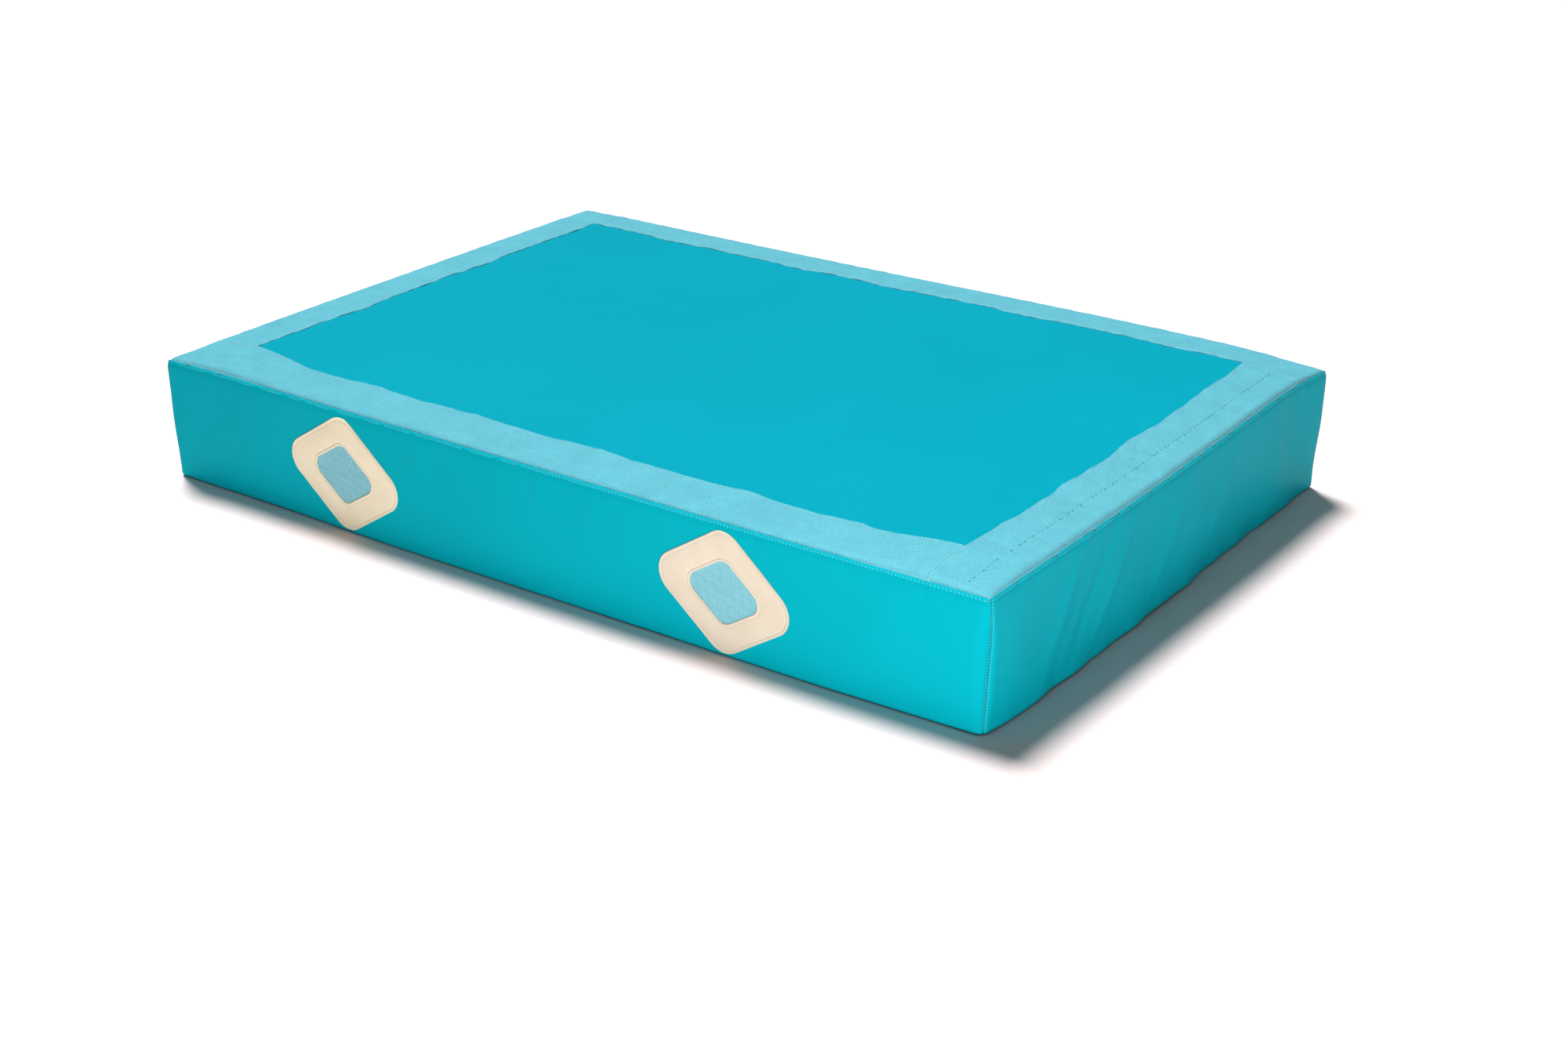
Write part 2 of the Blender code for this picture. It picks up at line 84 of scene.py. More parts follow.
def smooth(t):  # eases from 0 to 1 while t goes from 0 to 1
    t = np.clip(t, 0.0, 1.0)
    return t * t * (3 - 2 * t)


def bell(t, width):  # a bump of height 1 at t = 0
    return np.exp(-((t / width) ** 2))


def ripple(t, seed, waves):  # a sum of sines with seeded phases: waves holds (length, height) pairs
    phases = np.random.default_rng(seed).uniform(0, 2 * math.pi, len(waves))
    total = np.zeros_like(t)
    for (length, height), phase in zip(waves, phases):
        total = total + height * np.sin(2 * math.pi * t / length + phase)
    return total


def unevenness(x, y, seed, size, height):  # smooth hills of about one size: sines laid in eight directions
    random = np.random.default_rng(seed)
    total = np.zeros_like(x)
    for turn in np.arange(8) * math.pi / 8:
        angle = turn + random.uniform(0, 0.3)
        length = size * random.uniform(0.7, 1.4)
        along = x * math.cos(angle) + y * math.sin(angle)
        total = total + np.sin(2 * math.pi * along / length + random.uniform(0, 2 * math.pi))
    return total * height / 4


# Seams between the loop bands and the centre panel: how each one wanders outwards and sags, in metres
seams = {
    "front": {"offset": 0.0125, "scallop": -0.0070, "pitch": 0.235, "start": 0.060, "sag": 0.0065,
              "ramp": 0.15},
    "back": {"offset": 0.0, "scallop": -0.0070, "pitch": 0.250, "start": 0.020, "sag": 0.0, "ramp": 0.12},
    "left": {"offset": 0.0, "scallop": -0.0060, "pitch": 0.290, "start": 0.110, "sag": 0.0, "ramp": 0.12},
    "right": {"offset": 0.0055, "scallop": -0.0065, "pitch": 0.210, "start": 0.050, "sag": 0.0, "ramp": 0.12},
}
seamSpread = 0.045  # how far a seam's wandering reaches into the cloth on each side
innerL = halfL - bandWidth
innerW = halfW - bandWidth


def seamWander(name, t, reach):
    # outward shift of one seam at places t along it: a steady part, scallops that point inwards between
    # rounded hollows, and a small tremor, all fading out at the corners
    seam = seams[name]
    window = smooth((reach - np.abs(t)) / seam["ramp"])
    warped = t + 0.025 * np.sin(9.0 * t + seam["start"] * 40)
    scallop = 1 - np.abs(np.sin(math.pi * (warped - seam["start"]) / seam["pitch"])) ** 0.8
    tremor = ripple(t, len(name), [(0.083, 0.0008), (0.047, 0.0004), (0.150, 0.0010)])
    return window * (seam["offset"] + seam["scallop"] * (scallop - 0.3) + tremor), window


def riseFrom(edge):  # share of the crown at a distance from the outer edge: a rounded edge, then a flat slope
    roll = cover["roll"]
    share = cover["rollShare"]
    rounded = share * (1 - (1 - np.clip(edge / roll, 0, 1)) ** 2)
    return rounded + (1 - share) * np.clip((edge - roll) / (bandWidth - roll), 0, 1)


def edgeDrift(x, y):
    # how the top edge of the cover leaves its flat plan: the long sides and ends bow out, the foam stands
    # fuller towards one corner, and the corner itself drops
    longBow = smooth((halfL - np.abs(x)) / 0.45) * bell(halfW - np.abs(y), 0.05)
    endBow = smooth((halfW - np.abs(y)) / 0.35) * bell(halfL - np.abs(x), 0.05)
    rise = cover["backLift"] * smooth((x + 0.45) / 1.0) * smooth((y + 0.15) / 0.6)
    rise = rise - cover["droop"] * bell(np.hypot(x - halfL, y - halfW), 0.10)
    ear = cover["cornerEar"] * bell(np.hypot(halfL - np.abs(x), halfW - np.abs(y)), 0.06)
    ear = ear * (1 - bell(np.hypot(x - halfL, y + halfW), 0.30))
    outX = cover["endBow"] * endBow + ear
    outY = cover["longBow"] * longBow + ear
    return np.sign(x) * outX, np.sign(y) * outY, rise


def topPoint(x, y, lift=0.0):
    # a place on the lying surface: the flat plan with its corners rounded (a square bent to a disc),
    # drawn in at the edge, shifted along the wandering seams, raised by the crown and lowered where the
    # long edge sags
    edgeX = halfL - np.abs(x)
    edgeY = halfW - np.abs(y)
    radius = cover["bandCornerRadius"]
    a = np.clip((radius - edgeX) / radius, 0, 1)
    b = np.clip((radius - edgeY) / radius, 0, 1)
    inCorner = (a > 0) & (b > 0)
    px = np.where(inCorner, np.sign(x) * (halfL - radius * (1 - a * np.sqrt(1 - b * b / 2))), x)
    py = np.where(inCorner, np.sign(y) * (halfW - radius * (1 - b * np.sqrt(1 - a * a / 2))), y)
    px = px - np.sign(x) * cover["topTuck"] * np.clip(1 - edgeX / 0.05, 0, 1) ** 2
    py = py - np.sign(y) * cover["topTuck"] * np.clip(1 - edgeY / 0.05, 0, 1) ** 2
    height = edgeTop + (crownTop - edgeTop) * riseFrom(edgeX) * riseFrom(edgeY)
    sides = (("front", x, -1, halfW + y, innerL), ("back", x, 1, halfW - y, innerL),
             ("left", y, -1, halfL + x, innerW), ("right", y, 1, halfL - x, innerW))
    for name, along, way, edge, reach in sides:
        wander, window = seamWander(name, along, reach)
        near = bell(edge - bandWidth, seamSpread) * smooth(edge / 0.03)
        if name in ("front", "back"):
            py = py + way * wander * near
        else:
            px = px + way * wander * near
        inner = bell(edge - bandWidth, 0.14)
        sagShare = np.where(edge < bandWidth, 0.45 + 0.55 * edge / bandWidth, inner)
        height = height - seams[name]["sag"] * window * sagShare
    outX, outY, rise = edgeDrift(x, y)
    centre = smooth((edgeX - bandWidth) / 0.10) * smooth((edgeY - bandWidth) / 0.10)
    swell = centre * (0.0012 + unevenness(x, y, 3, 0.42, 0.0009))
    return np.stack([px + outX, py + outY, height + rise + swell + lift], axis=-1)


def meshFrom(name, points, faceSets, material, body=rootBody, uv=None, weld=0.0):
    # one piece from an array of points and a list of face arrays, each row holding the corners of one face
    mesh = bpy.data.meshes.new(name)
    corners = np.concatenate([faces.ravel() for faces in faceSets]).astype(np.int32)
    sizes = np.concatenate([np.full(len(faces), faces.shape[1]) for faces in faceSets])
    starts = np.concatenate([[0], np.cumsum(sizes)[:-1]]).astype(np.int32)
    mesh.vertices.add(len(points))
    mesh.vertices.foreach_set("co", np.asarray(points, np.float32).ravel())
    mesh.loops.add(len(corners))
    mesh.loops.foreach_set("vertex_index", corners)
    mesh.polygons.add(len(sizes))
    mesh.polygons.foreach_set("loop_start", starts)
    mesh.update(calc_edges=True)
    if uv is not None:
        layer = mesh.uv_layers.new(name="cloth")
        layer.data.foreach_set("uv", np.asarray(uv, np.float32)[corners].ravel())
    mesh.polygons.foreach_set("use_smooth", np.full(len(sizes), True))
    mesh.materials.append(material)
    if weld:
        shell = bmesh.new()
        shell.from_mesh(mesh)
        bmesh.ops.remove_doubles(shell, verts=shell.verts, dist=weld)
        bmesh.ops.dissolve_degenerate(shell, edges=shell.edges, dist=weld)
        shell.to_mesh(mesh)
        shell.free()
    piece = bpy.data.objects.new(name, mesh)
    bpy.context.collection.objects.link(piece)
    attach(piece, body)
    return piece


def gridFaces(rows, columns, closeRows=False, closeColumns=False):
    # four-sided faces between neighbouring grid points, joined round where a direction closes on itself
    rowStarts = np.arange(rows if closeRows else rows - 1)
    columnStarts = np.arange(columns if closeColumns else columns - 1)
    r, c = np.meshgrid(rowStarts, columnStarts, indexing="ij")
    r2 = (r + 1) % rows
    c2 = (c + 1) % columns
    quads = np.stack([r * columns + c, r * columns + c2, r2 * columns + c2, r2 * columns + c], axis=-1)
    return quads.reshape(-1, 4)


def clothSheet(name, points, uv, material, thickness, replaces=(), opening=None, body=rootBody):
    # a grid of points facing out, given its thickness inwards; opening marks the faces that are cut away
    rows, columns = points.shape[:2]
    faces = gridFaces(rows, columns)
    points = points.reshape(-1, 3)
    uv = uv.reshape(-1, 2)
    if opening is not None and opening.any():
        faces = faces[~opening]
        used, faces = np.unique(faces, return_inverse=True)
        faces = faces.reshape(-1, 4)
        points = points[used]
        uv = uv[used]
    piece = meshFrom(name, points, [faces], material, body, uv)
    wall = piece.modifiers.new("thickness", "SOLIDIFY")
    wall.thickness = thickness
    wall.offset = -1
    if replaces:
        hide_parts(*replaces)
    return piece


def closedRings(name, rings, material, uv=None, body=rootBody, replaces=()):
    # a closed body from a stack of rings: each ring joins the next, and the first and last are drawn to a
    # point
    rows, columns = rings.shape[:2]
    flatUv = None if uv is None else uv.reshape(-1, 2)
    piece = meshFrom(name, rings.reshape(-1, 3), [gridFaces(rows, columns, False, True)], material,
                     body, flatUv, weld=1e-6)
    if replaces:
        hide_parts(*replaces)
    return piece


def spaced(low, high, step):
    return np.linspace(low, high, int(math.ceil((high - low) / step)) + 1)


# One sewing stitch: a short bent thread that dives into the cloth at both ends, along x from -1 to 1
stitchShape = {"sides": 5, "stations": (-1.0, -0.62, 0.0, 0.62, 1.0), "girth": (0.55, 0.9, 1.0, 0.9, 0.55)}


def stitchTemplate():
    # rings of a thread whose middle stands up: height above the cloth is 1 - x squared, with a point at
    # each end
    turn = np.arange(stitchShape["sides"]) * 2 * math.pi / stitchShape["sides"]
    x = np.array(stitchShape["stations"])
    girth = np.array(stitchShape["girth"])
    ring = np.stack([np.broadcast_to(x[:, None], (len(x), len(turn))), girth[:, None] * np.cos(turn),
                     (1 - x[:, None] ** 2) * 1.6 - 0.9 + girth[:, None] * np.sin(turn)], axis=-1)
    sides = stitchShape["sides"]
    points = np.concatenate([ring.reshape(-1, 3), [[-1.15, 0, -1.3], [1.15, 0, -1.3]]])
    quads = gridFaces(len(x), sides, False, True)
    around = np.arange(sides)
    first = np.stack([np.full(sides, len(points) - 2), (around + 1) % sides, around], axis=-1)
    base = (len(x) - 1) * sides
    last = np.stack([np.full(sides, len(points) - 1), base + around, base + (around + 1) % sides], axis=-1)
    return points, quads[:, ::-1], np.concatenate([first, last])[:, ::-1]


def stitchRow(name, surface, starts, ends, thread, material, slotName="cover_fabric", body=rootBody):
    # sewing stitches laid on a surface(u, v, lift), each from one place to the next: copies of the
    # template turned to the surface's slope there
    starts = np.asarray(starts, float)
    ends = np.asarray(ends, float)
    middle = (starts + ends) / 2
    tiny = 0.0006
    a = surface(starts[:, 0], starts[:, 1])
    b = surface(ends[:, 0], ends[:, 1])
    slopeU = surface(middle[:, 0] + tiny, middle[:, 1]) - surface(middle[:, 0] - tiny, middle[:, 1])
    slopeV = surface(middle[:, 0], middle[:, 1] + tiny) - surface(middle[:, 0], middle[:, 1] - tiny)
    up = np.cross(slopeU, slopeV)
    up /= np.linalg.norm(up, axis=1, keepdims=True)
    along = b - a
    length = np.linalg.norm(along, axis=1, keepdims=True)
    along = along / length
    side = np.cross(up, along)
    points, quads, triangles = stitchTemplate()
    place = (a + b) / 2
    copies = (place[:, None, :] + points[None, :, 0:1] * along[:, None, :] * length[:, None, :] * 0.42
              + points[None, :, 1:2] * side[:, None, :] * thread / 2
              + (points[None, :, 2:3] * thread / 2 + thread * 0.25) * up[:, None, :])
    count = len(starts)
    shiftBy = (np.arange(count) * len(points))[:, None, None]
    faceSets = [(quads[None] + shiftBy).reshape(-1, 4), (triangles[None] + shiftBy).reshape(-1, 3)]
    return meshFrom(name, copies.reshape(-1, 3), faceSets, material, body)


def evenRow(low, high, pitch, cover=0.78):  # starts and ends of evenly spaced stitches between two places
    count = max(int(round((high - low) / pitch)), 1)
    middles = low + (np.arange(count) + 0.5) * (high - low) / count
    half = pitch * cover / 2
    return middles - half, middles + half


# Finishes: each maker below returns one node material

def newMaterial(name):
    made = bpy.data.materials.new(name)
    made.use_nodes = True
    nodes = made.node_tree.nodes
    shader = nodes["Principled BSDF"]
    return made, nodes, made.node_tree.links, shader


def colourRamp(nodes, links, source, stops):
    ramp = nodes.new("ShaderNodeValToRGB")
    while len(ramp.color_ramp.elements) < len(stops):
        ramp.color_ramp.elements.new(0.5)
    for element, (place, colour) in zip(ramp.color_ramp.elements, stops):
        element.position = place
        element.color = (*colour, 1.0) if len(colour) == 3 else colour
    links.new(source, ramp.inputs[0])
    return ramp.outputs[0]


def noiseOn(nodes, links, coordinates, scale, detail=3.0, rough=0.5):
    noise = nodes.new("ShaderNodeTexNoise")
    noise.inputs["Scale"].default_value = scale
    noise.inputs["Detail"].default_value = detail
    noise.inputs["Roughness"].default_value = rough
    links.new(coordinates, noise.inputs["Vector"])
    return noise.outputs["Fac"]


def mathNode(nodes, links, operation, a, b=None):
    node = nodes.new("ShaderNodeMath")
    node.operation = operation
    for slotIndex, value in enumerate((a, b)):
        if value is None:
            continue
        if isinstance(value, (int, float)):
            node.inputs[slotIndex].default_value = value
        else:
            links.new(value, node.inputs[slotIndex])
    return node.outputs[0]


def mixColours(nodes, links, factor, first, second, blend="MIX"):
    mix = nodes.new("ShaderNodeMix")
    mix.data_type = "RGBA"
    mix.blend_type = blend
    for socket, value in ((mix.inputs[0], factor), (mix.inputs[6], first), (mix.inputs[7], second)):
        if isinstance(value, (int, float)):
            socket.default_value = value
        elif isinstance(value, tuple):
            socket.default_value = (*value, 1.0)
        else:
            links.new(value, socket)
    return mix.outputs[2]


def bumpOn(nodes, links, shader, height, strength, distance, before=None):
    bump = nodes.new("ShaderNodeBump")
    bump.inputs["Strength"].default_value = strength
    bump.inputs["Distance"].default_value = distance
    links.new(height, bump.inputs["Height"])
    if before is not None:
        links.new(before, bump.inputs["Normal"])
    links.new(bump.outputs[0], shader.inputs["Normal"])
    return bump.outputs[0]


def coatedFabric(name, colour, deep, rough):
    # polyurethane-coated knit: soft satin skin, a very fine pebble, faint cloudy tone and handling marks
    made, nodes, links, shader = newMaterial(name)
    place = nodes.new("ShaderNodeTexCoord").outputs["Object"]
    cloud = noiseOn(nodes, links, place, 3.5, 3.0, 0.55)
    tone = colourRamp(nodes, links, cloud, [(0.30, deep), (0.70, colour)])
    links.new(tone, shader.inputs["Base Color"])
    pebble = nodes.new("ShaderNodeTexVoronoi")
    pebble.feature = "SMOOTH_F1"
    pebble.inputs["Scale"].default_value = 1150
    links.new(place, pebble.inputs["Vector"])
    handling = noiseOn(nodes, links, place, 38, 4.0, 0.6)
    gloss = nodes.new("ShaderNodeMapRange")
    gloss.inputs["To Min"].default_value = rough - 0.05
    gloss.inputs["To Max"].default_value = rough + 0.07
    links.new(handling, gloss.inputs["Value"])
    links.new(gloss.outputs[0], shader.inputs["Roughness"])
    soft = bumpOn(nodes, links, shader, handling, 0.10, 0.0015)
    bumpOn(nodes, links, shader, pebble.outputs["Distance"], 0.16, 0.00022, soft)
    shader.inputs["Specular IOR Level"].default_value = 0.02
    shader.inputs["Specular Tint"].default_value = (0.30, 0.95, 1.0, 1.0)
    return made


def loopPile(name, light, dark):
    # brushed loop pile: tangled loops about a millimetre across, with painted shade between them: the
    # colour follows the loops' height, darker where they lie low. Heathered with paler flecks that also
    # stand higher, flattened in patches
    made, nodes, links, shader = newMaterial(name)
    place = nodes.new("ShaderNodeTexCoord").outputs["Object"]
    tangle = noiseOn(nodes, links, place, 640, 4.0, 0.75)
    fleck = noiseOn(nodes, links, place, 340, 4.0, 0.85)
    lying = noiseOn(nodes, links, place, 26, 3.0, 0.6)
    # the tangle also gives the height below, so this ramp paints shade down between the loops
    base = colourRamp(nodes, links, tangle, [(0.32, dark), (0.62, light)])
    paler = mixColours(nodes, links, 0.35, light, (0.38, 0.70, 0.76))
    heather = colourRamp(nodes, links, fleck, [(0.42, (0.0, 0.0, 0.0)), (0.62, (1.0, 1.0, 1.0))])
    mottled = mixColours(nodes, links, mathNode(nodes, links, "MULTIPLY", heather, 0.50), base, paler)
    shadeTone = colourRamp(nodes, links, lying, [(0.30, (0.90, 0.91, 0.92)), (0.70, (1.04, 1.03, 1.02))])
    links.new(mixColours(nodes, links, 1.0, mottled, shadeTone, "MULTIPLY"), shader.inputs["Base Color"])
    height = mathNode(nodes, links, "ADD", tangle, mathNode(nodes, links, "MULTIPLY", fleck, 0.8))
    bumpOn(nodes, links, shader, height, 0.55, 0.0011)
    shader.inputs["Roughness"].default_value = 0.93
    shader.inputs["Specular IOR Level"].default_value = 0.08
    shader.inputs["Sheen Weight"].default_value = 0.12
    shader.inputs["Sheen Roughness"].default_value = 0.55
    shader.inputs["Sheen Tint"].default_value = (0.60, 0.95, 1.0, 1.0)
    return made


def wovenTape(name, light, dark, across, along):
    # flat woven tape: crossing yarns on the piece's own cloth map, which is in metres, with painted shade:
    # the colour follows the weave's height, darker where the yarns dip
    made, nodes, links, shader = newMaterial(name)
    place = nodes.new("ShaderNodeTexCoord").outputs["UV"]
    split = nodes.new("ShaderNodeSeparateXYZ")
    links.new(place, split.inputs[0])
    turnU = mathNode(nodes, links, "MULTIPLY", split.outputs[0], 2 * math.pi / along)
    turnV = mathNode(nodes, links, "MULTIPLY", split.outputs[1], 2 * math.pi / across)
    yarnU = mathNode(nodes, links, "SINE", turnU)
    yarnV = mathNode(nodes, links, "SINE", turnV)
    weave = mathNode(nodes, links, "MULTIPLY", yarnU, yarnV)
    level = mathNode(nodes, links, "ADD", mathNode(nodes, links, "MULTIPLY", weave, 0.5), 0.5)
    # the weave's low places are painted darker: painted shade between the yarns
    links.new(colourRamp(nodes, links, level, [(0.1, dark), (0.9, light)]), shader.inputs["Base Color"])
    bumpOn(nodes, links, shader, level, 0.5, 0.0004)
    shader.inputs["Roughness"].default_value = 0.8
    shader.inputs["Specular IOR Level"].default_value = 0.2
    shader.inputs["Sheen Weight"].default_value = 0.15
    return made


def softVinyl(name, light, deep):
    # cream vinyl: fine leather grain, a little warmer in broad random patches, faint rubbed marks
    made, nodes, links, shader = newMaterial(name)
    place = nodes.new("ShaderNodeTexCoord").outputs["Object"]
    cloud = noiseOn(nodes, links, place, 14, 3.0, 0.6)
    tone = colourRamp(nodes, links, cloud, [(0.30, deep), (0.68, light)])
    links.new(tone, shader.inputs["Base Color"])
    grain = nodes.new("ShaderNodeTexVoronoi")
    grain.feature = "F1"
    grain.inputs["Scale"].default_value = 820
    links.new(place, grain.inputs["Vector"])
    soft = noiseOn(nodes, links, place, 95, 3.0, 0.6)
    first = bumpOn(nodes, links, shader, soft, 0.18, 0.0012)
    bumpOn(nodes, links, shader, grain.outputs["Distance"], 0.30, 0.00030, first)
    rubbed = nodes.new("ShaderNodeMapRange")
    rubbed.inputs["To Min"].default_value = 0.40
    rubbed.inputs["To Max"].default_value = 0.56
    links.new(soft, rubbed.inputs["Value"])
    links.new(rubbed.outputs[0], shader.inputs["Roughness"])
    shader.inputs["Specular IOR Level"].default_value = 0.30
    return made


def threadFinish(name, light, dark, scale=900.0):
    # twisted sewing thread: fine slanting ply, with painted shade: the colour follows the ply's height,
    # darker in the grooves between the strands
    made, nodes, links, shader = newMaterial(name)
    place = nodes.new("ShaderNodeTexCoord").outputs["Object"]
    ply = nodes.new("ShaderNodeTexWave")
    ply.bands_direction = "DIAGONAL"
    ply.inputs["Scale"].default_value = scale
    ply.inputs["Distortion"].default_value = 1.5
    links.new(place, ply.inputs["Vector"])
    # dark where the ply is low: painted shade in the twist's grooves
    tone = colourRamp(nodes, links, ply.outputs["Fac"], [(0.2, dark), (0.8, light)])
    links.new(tone, shader.inputs["Base Color"])
    bumpOn(nodes, links, shader, ply.outputs["Fac"], 0.3, 0.0002)
    shader.inputs["Roughness"].default_value = 0.6
    shader.inputs["Sheen Weight"].default_value = 0.25
    return made


def mouldedPlastic(name, light, dark):
    made, nodes, links, shader = newMaterial(name)
    place = nodes.new("ShaderNodeTexCoord").outputs["Object"]
    cloud = noiseOn(nodes, links, place, 160, 3.0, 0.6)
    links.new(colourRamp(nodes, links, cloud, [(0.3, dark), (0.7, light)]), shader.inputs["Base Color"])
    bumpOn(nodes, links, shader, cloud, 0.1, 0.0003)
    shader.inputs["Roughness"].default_value = 0.42
    return made


def platedMetal(name, light, dark):
    # nickel plate: brushed lines along the part, dull fingermarks and wear
    made, nodes, links, shader = newMaterial(name)
    place = nodes.new("ShaderNodeTexCoord").outputs["Object"]
    stretch = nodes.new("ShaderNodeMapping")
    stretch.inputs["Scale"].default_value = (60, 900, 900)
    links.new(place, stretch.inputs["Vector"])
    lines = noiseOn(nodes, links, stretch.outputs[0], 3.0, 4.0, 0.6)
    marks = noiseOn(nodes, links, place, 240, 3.0, 0.6)
    links.new(colourRamp(nodes, links, marks, [(0.35, dark), (0.65, light)]), shader.inputs["Base Color"])
    worn = nodes.new("ShaderNodeMapRange")
    worn.inputs["To Min"].default_value = 0.22
    worn.inputs["To Max"].default_value = 0.42
    links.new(marks, worn.inputs["Value"])
    links.new(worn.outputs[0], shader.inputs["Roughness"])
    bumpOn(nodes, links, shader, lines, 0.12, 0.0002)
    shader.inputs["Metallic"].default_value = 1.0
    return made


def openFoam(name, light, dark, cellScale):
    # cut polyurethane foam: round open cells with pale walls; the middles of the cells are painted darker,
    # as shade inside the open cells
    made, nodes, links, shader = newMaterial(name)
    place = nodes.new("ShaderNodeTexCoord").outputs["Object"]
    cells = nodes.new("ShaderNodeTexVoronoi")
    cells.feature = "DISTANCE_TO_EDGE"
    cells.inputs["Scale"].default_value = cellScale
    links.new(place, cells.inputs["Vector"])
    cloud = noiseOn(nodes, links, place, 9, 3.0, 0.6)
    # painted shade: darker towards the middle of each open cell
    tone = colourRamp(nodes, links, cells.outputs["Distance"], [(0.02, light), (0.35, dark)])
    yellowed = colourRamp(nodes, links, cloud, [(0.35, (0.92, 0.90, 0.84)), (0.7, (1.0, 1.0, 1.0))])
    links.new(mixColours(nodes, links, 1.0, tone, yellowed, "MULTIPLY"), shader.inputs["Base Color"])
    bumpOn(nodes, links, shader, cells.outputs["Distance"], 0.5, 0.0008)
    shader.inputs["Roughness"].default_value = 0.95
    shader.inputs["Specular IOR Level"].default_value = 0.1
    return made


def floorFinish(name):
    made, nodes, links, shader = newMaterial(name)
    shader.inputs["Base Color"].default_value = (0.95, 0.825, 0.815, 1.0)
    shader.inputs["Roughness"].default_value = 1.0
    shader.inputs["Specular IOR Level"].default_value = 0.0
    return made


# Colours are linear light
turquoise = coatedFabric("turquoise cover fabric", (0.0004, 0.322, 0.428), (0.0004, 0.308, 0.410), 0.46)
wallTurquoise = coatedFabric("turquoise wall fabric", (0.0010, 0.405, 0.490), (0.0008, 0.388, 0.470), 0.44)
underside = coatedFabric("underside fabric", (0.006, 0.240, 0.310), (0.004, 0.200, 0.265), 0.55)
pile = loopPile("turquoise loop pile", (0.112, 0.478, 0.580), (0.062, 0.360, 0.460))
selvedge = threadFinish("woven selvedge", (0.20, 0.62, 0.71), (0.11, 0.48, 0.59), 500.0)
turnedEdge = threadFinish("turned band edge", (0.11, 0.50, 0.60), (0.07, 0.40, 0.50), 500.0)
paleThread = threadFinish("pale turquoise thread", (0.30, 0.76, 0.84), (0.14, 0.58, 0.67))
creamThread = threadFinish("cream thread", (0.66, 0.55, 0.43), (0.50, 0.39, 0.29))
# one cream vinyl in two copies, the left vent's painted lighter and the right vent's darker, to make up  for
# the light falling differently on the two vents: painted light and shade
lighterLeftVinyl = softVinyl("cream vinyl painted lighter, left", (0.850, 0.785, 0.580), (0.790, 0.715, 0.520))
darkerRightVinyl = softVinyl("cream vinyl painted darker, right", (0.730, 0.655, 0.520), (0.675, 0.595, 0.465))
knitMesh = threadFinish("pale mesh yarn", (0.44, 0.88, 0.95), (0.30, 0.74, 0.83), 700.0)
zipTape = wovenTape("zip tape", (0.010, 0.260, 0.330), (0.004, 0.150, 0.200), 0.0011, 0.0016)
zipPlastic = mouldedPlastic("zip tooth plastic", (0.012, 0.260, 0.320), (0.008, 0.190, 0.250))
zipMetal = platedMetal("nickel plate", (0.66, 0.65, 0.62), (0.42, 0.41, 0.39))
deepThread = threadFinish("deep turquoise thread", (0.055, 0.38, 0.48), (0.03, 0.28, 0.37))
# a turquoise sheet set just behind each vent mesh, darker than the yarn: painted shade for the dim inside
shadeBehindMesh = threadFinish("painted shade behind the mesh", (0.12, 0.56, 0.67), (0.07, 0.45, 0.56), 500.0)
floorPaint = floorFinish("floor paint")
linerKnit = wovenTape("liner knit", (0.86, 0.84, 0.78), (0.66, 0.63, 0.56), 0.0016, 0.0012)
firmFoam = openFoam("firm foam", (0.66, 0.70, 0.74), (0.40, 0.44, 0.50), 520)
cutFoam = openFoam("cut foam", (0.86, 0.80, 0.50), (0.60, 0.52, 0.28), 420)
viscoFoam = openFoam("memory foam", (0.90, 0.85, 0.68), (0.70, 0.62, 0.44), 900)
print("finishes made")


# Walls: one profile carried round the rounded plan
cornerRadius = cover["cornerRadius"]
straightX = 2 * (halfL - cornerRadius)
straightY = 2 * (halfW - cornerRadius)
quarter = math.pi * cornerRadius / 2
perimeter = 2 * straightX + 2 * straightY + 4 * quarter


def planAt(s, radius):
    # the plan outline at distances s round it, anticlockwise from the front's middle: places and outward
    # normals. radius may change from place to place: the corner's centre then moves along the diagonal,
    # and the straight sides stretch near their ends to reach it
    s = np.mod(s, perimeter)
    lengths = [straightX / 2, quarter, straightY, quarter, straightX, quarter, straightY, quarter,
               straightX / 2]
    starts = np.concatenate([[0], np.cumsum(lengths)])
    x = np.zeros_like(s)
    y = np.zeros_like(s)
    nx = np.zeros_like(s)
    ny = np.zeros_like(s)
    half = {0: straightX / 2, 4: straightX / 2, 8: straightX / 2, 2: straightY / 2, 6: straightY / 2}
    lines = {
        0: (0, -halfW, 1, 0, 0, -1, 0),
        2: (halfL, 0, 0, 1, 1, 0, -straightY / 2),
        4: (0, halfW, -1, 0, 0, 1, -straightX / 2),
        6: (-halfL, 0, 0, -1, -1, 0, -straightY / 2),
        8: (0, -halfW, 1, 0, 0, -1, -straightX / 2),
    }
    arcs = {1: (1, -1, -90), 3: (1, 1, 0), 5: (-1, 1, 90), 7: (-1, -1, 180)}
    for k in range(9):
        here = (s >= starts[k]) & (s <= starts[k + 1])
        t = s - starts[k]
        if k in lines:
            x0, y0, dx, dy, lx, ly, begin = lines[k]
            t = t + begin
            t = t + np.sign(t) * (cornerRadius - radius) * (np.abs(t) / half[k]) ** 12
            x = np.where(here, x0 + dx * t, x)
            y = np.where(here, y0 + dy * t, y)
            nx = np.where(here, lx, nx)
            ny = np.where(here, ly, ny)
        else:
            signX, signY, begin = arcs[k]
            angle = math.radians(begin) + t / cornerRadius
            x = np.where(here, signX * (halfL - radius) + radius * np.cos(angle), x)
            y = np.where(here, signY * (halfW - radius) + radius * np.sin(angle), y)
            nx = np.where(here, np.cos(angle), nx)
            ny = np.where(here, np.sin(angle), ny)
    return x, y, nx, ny


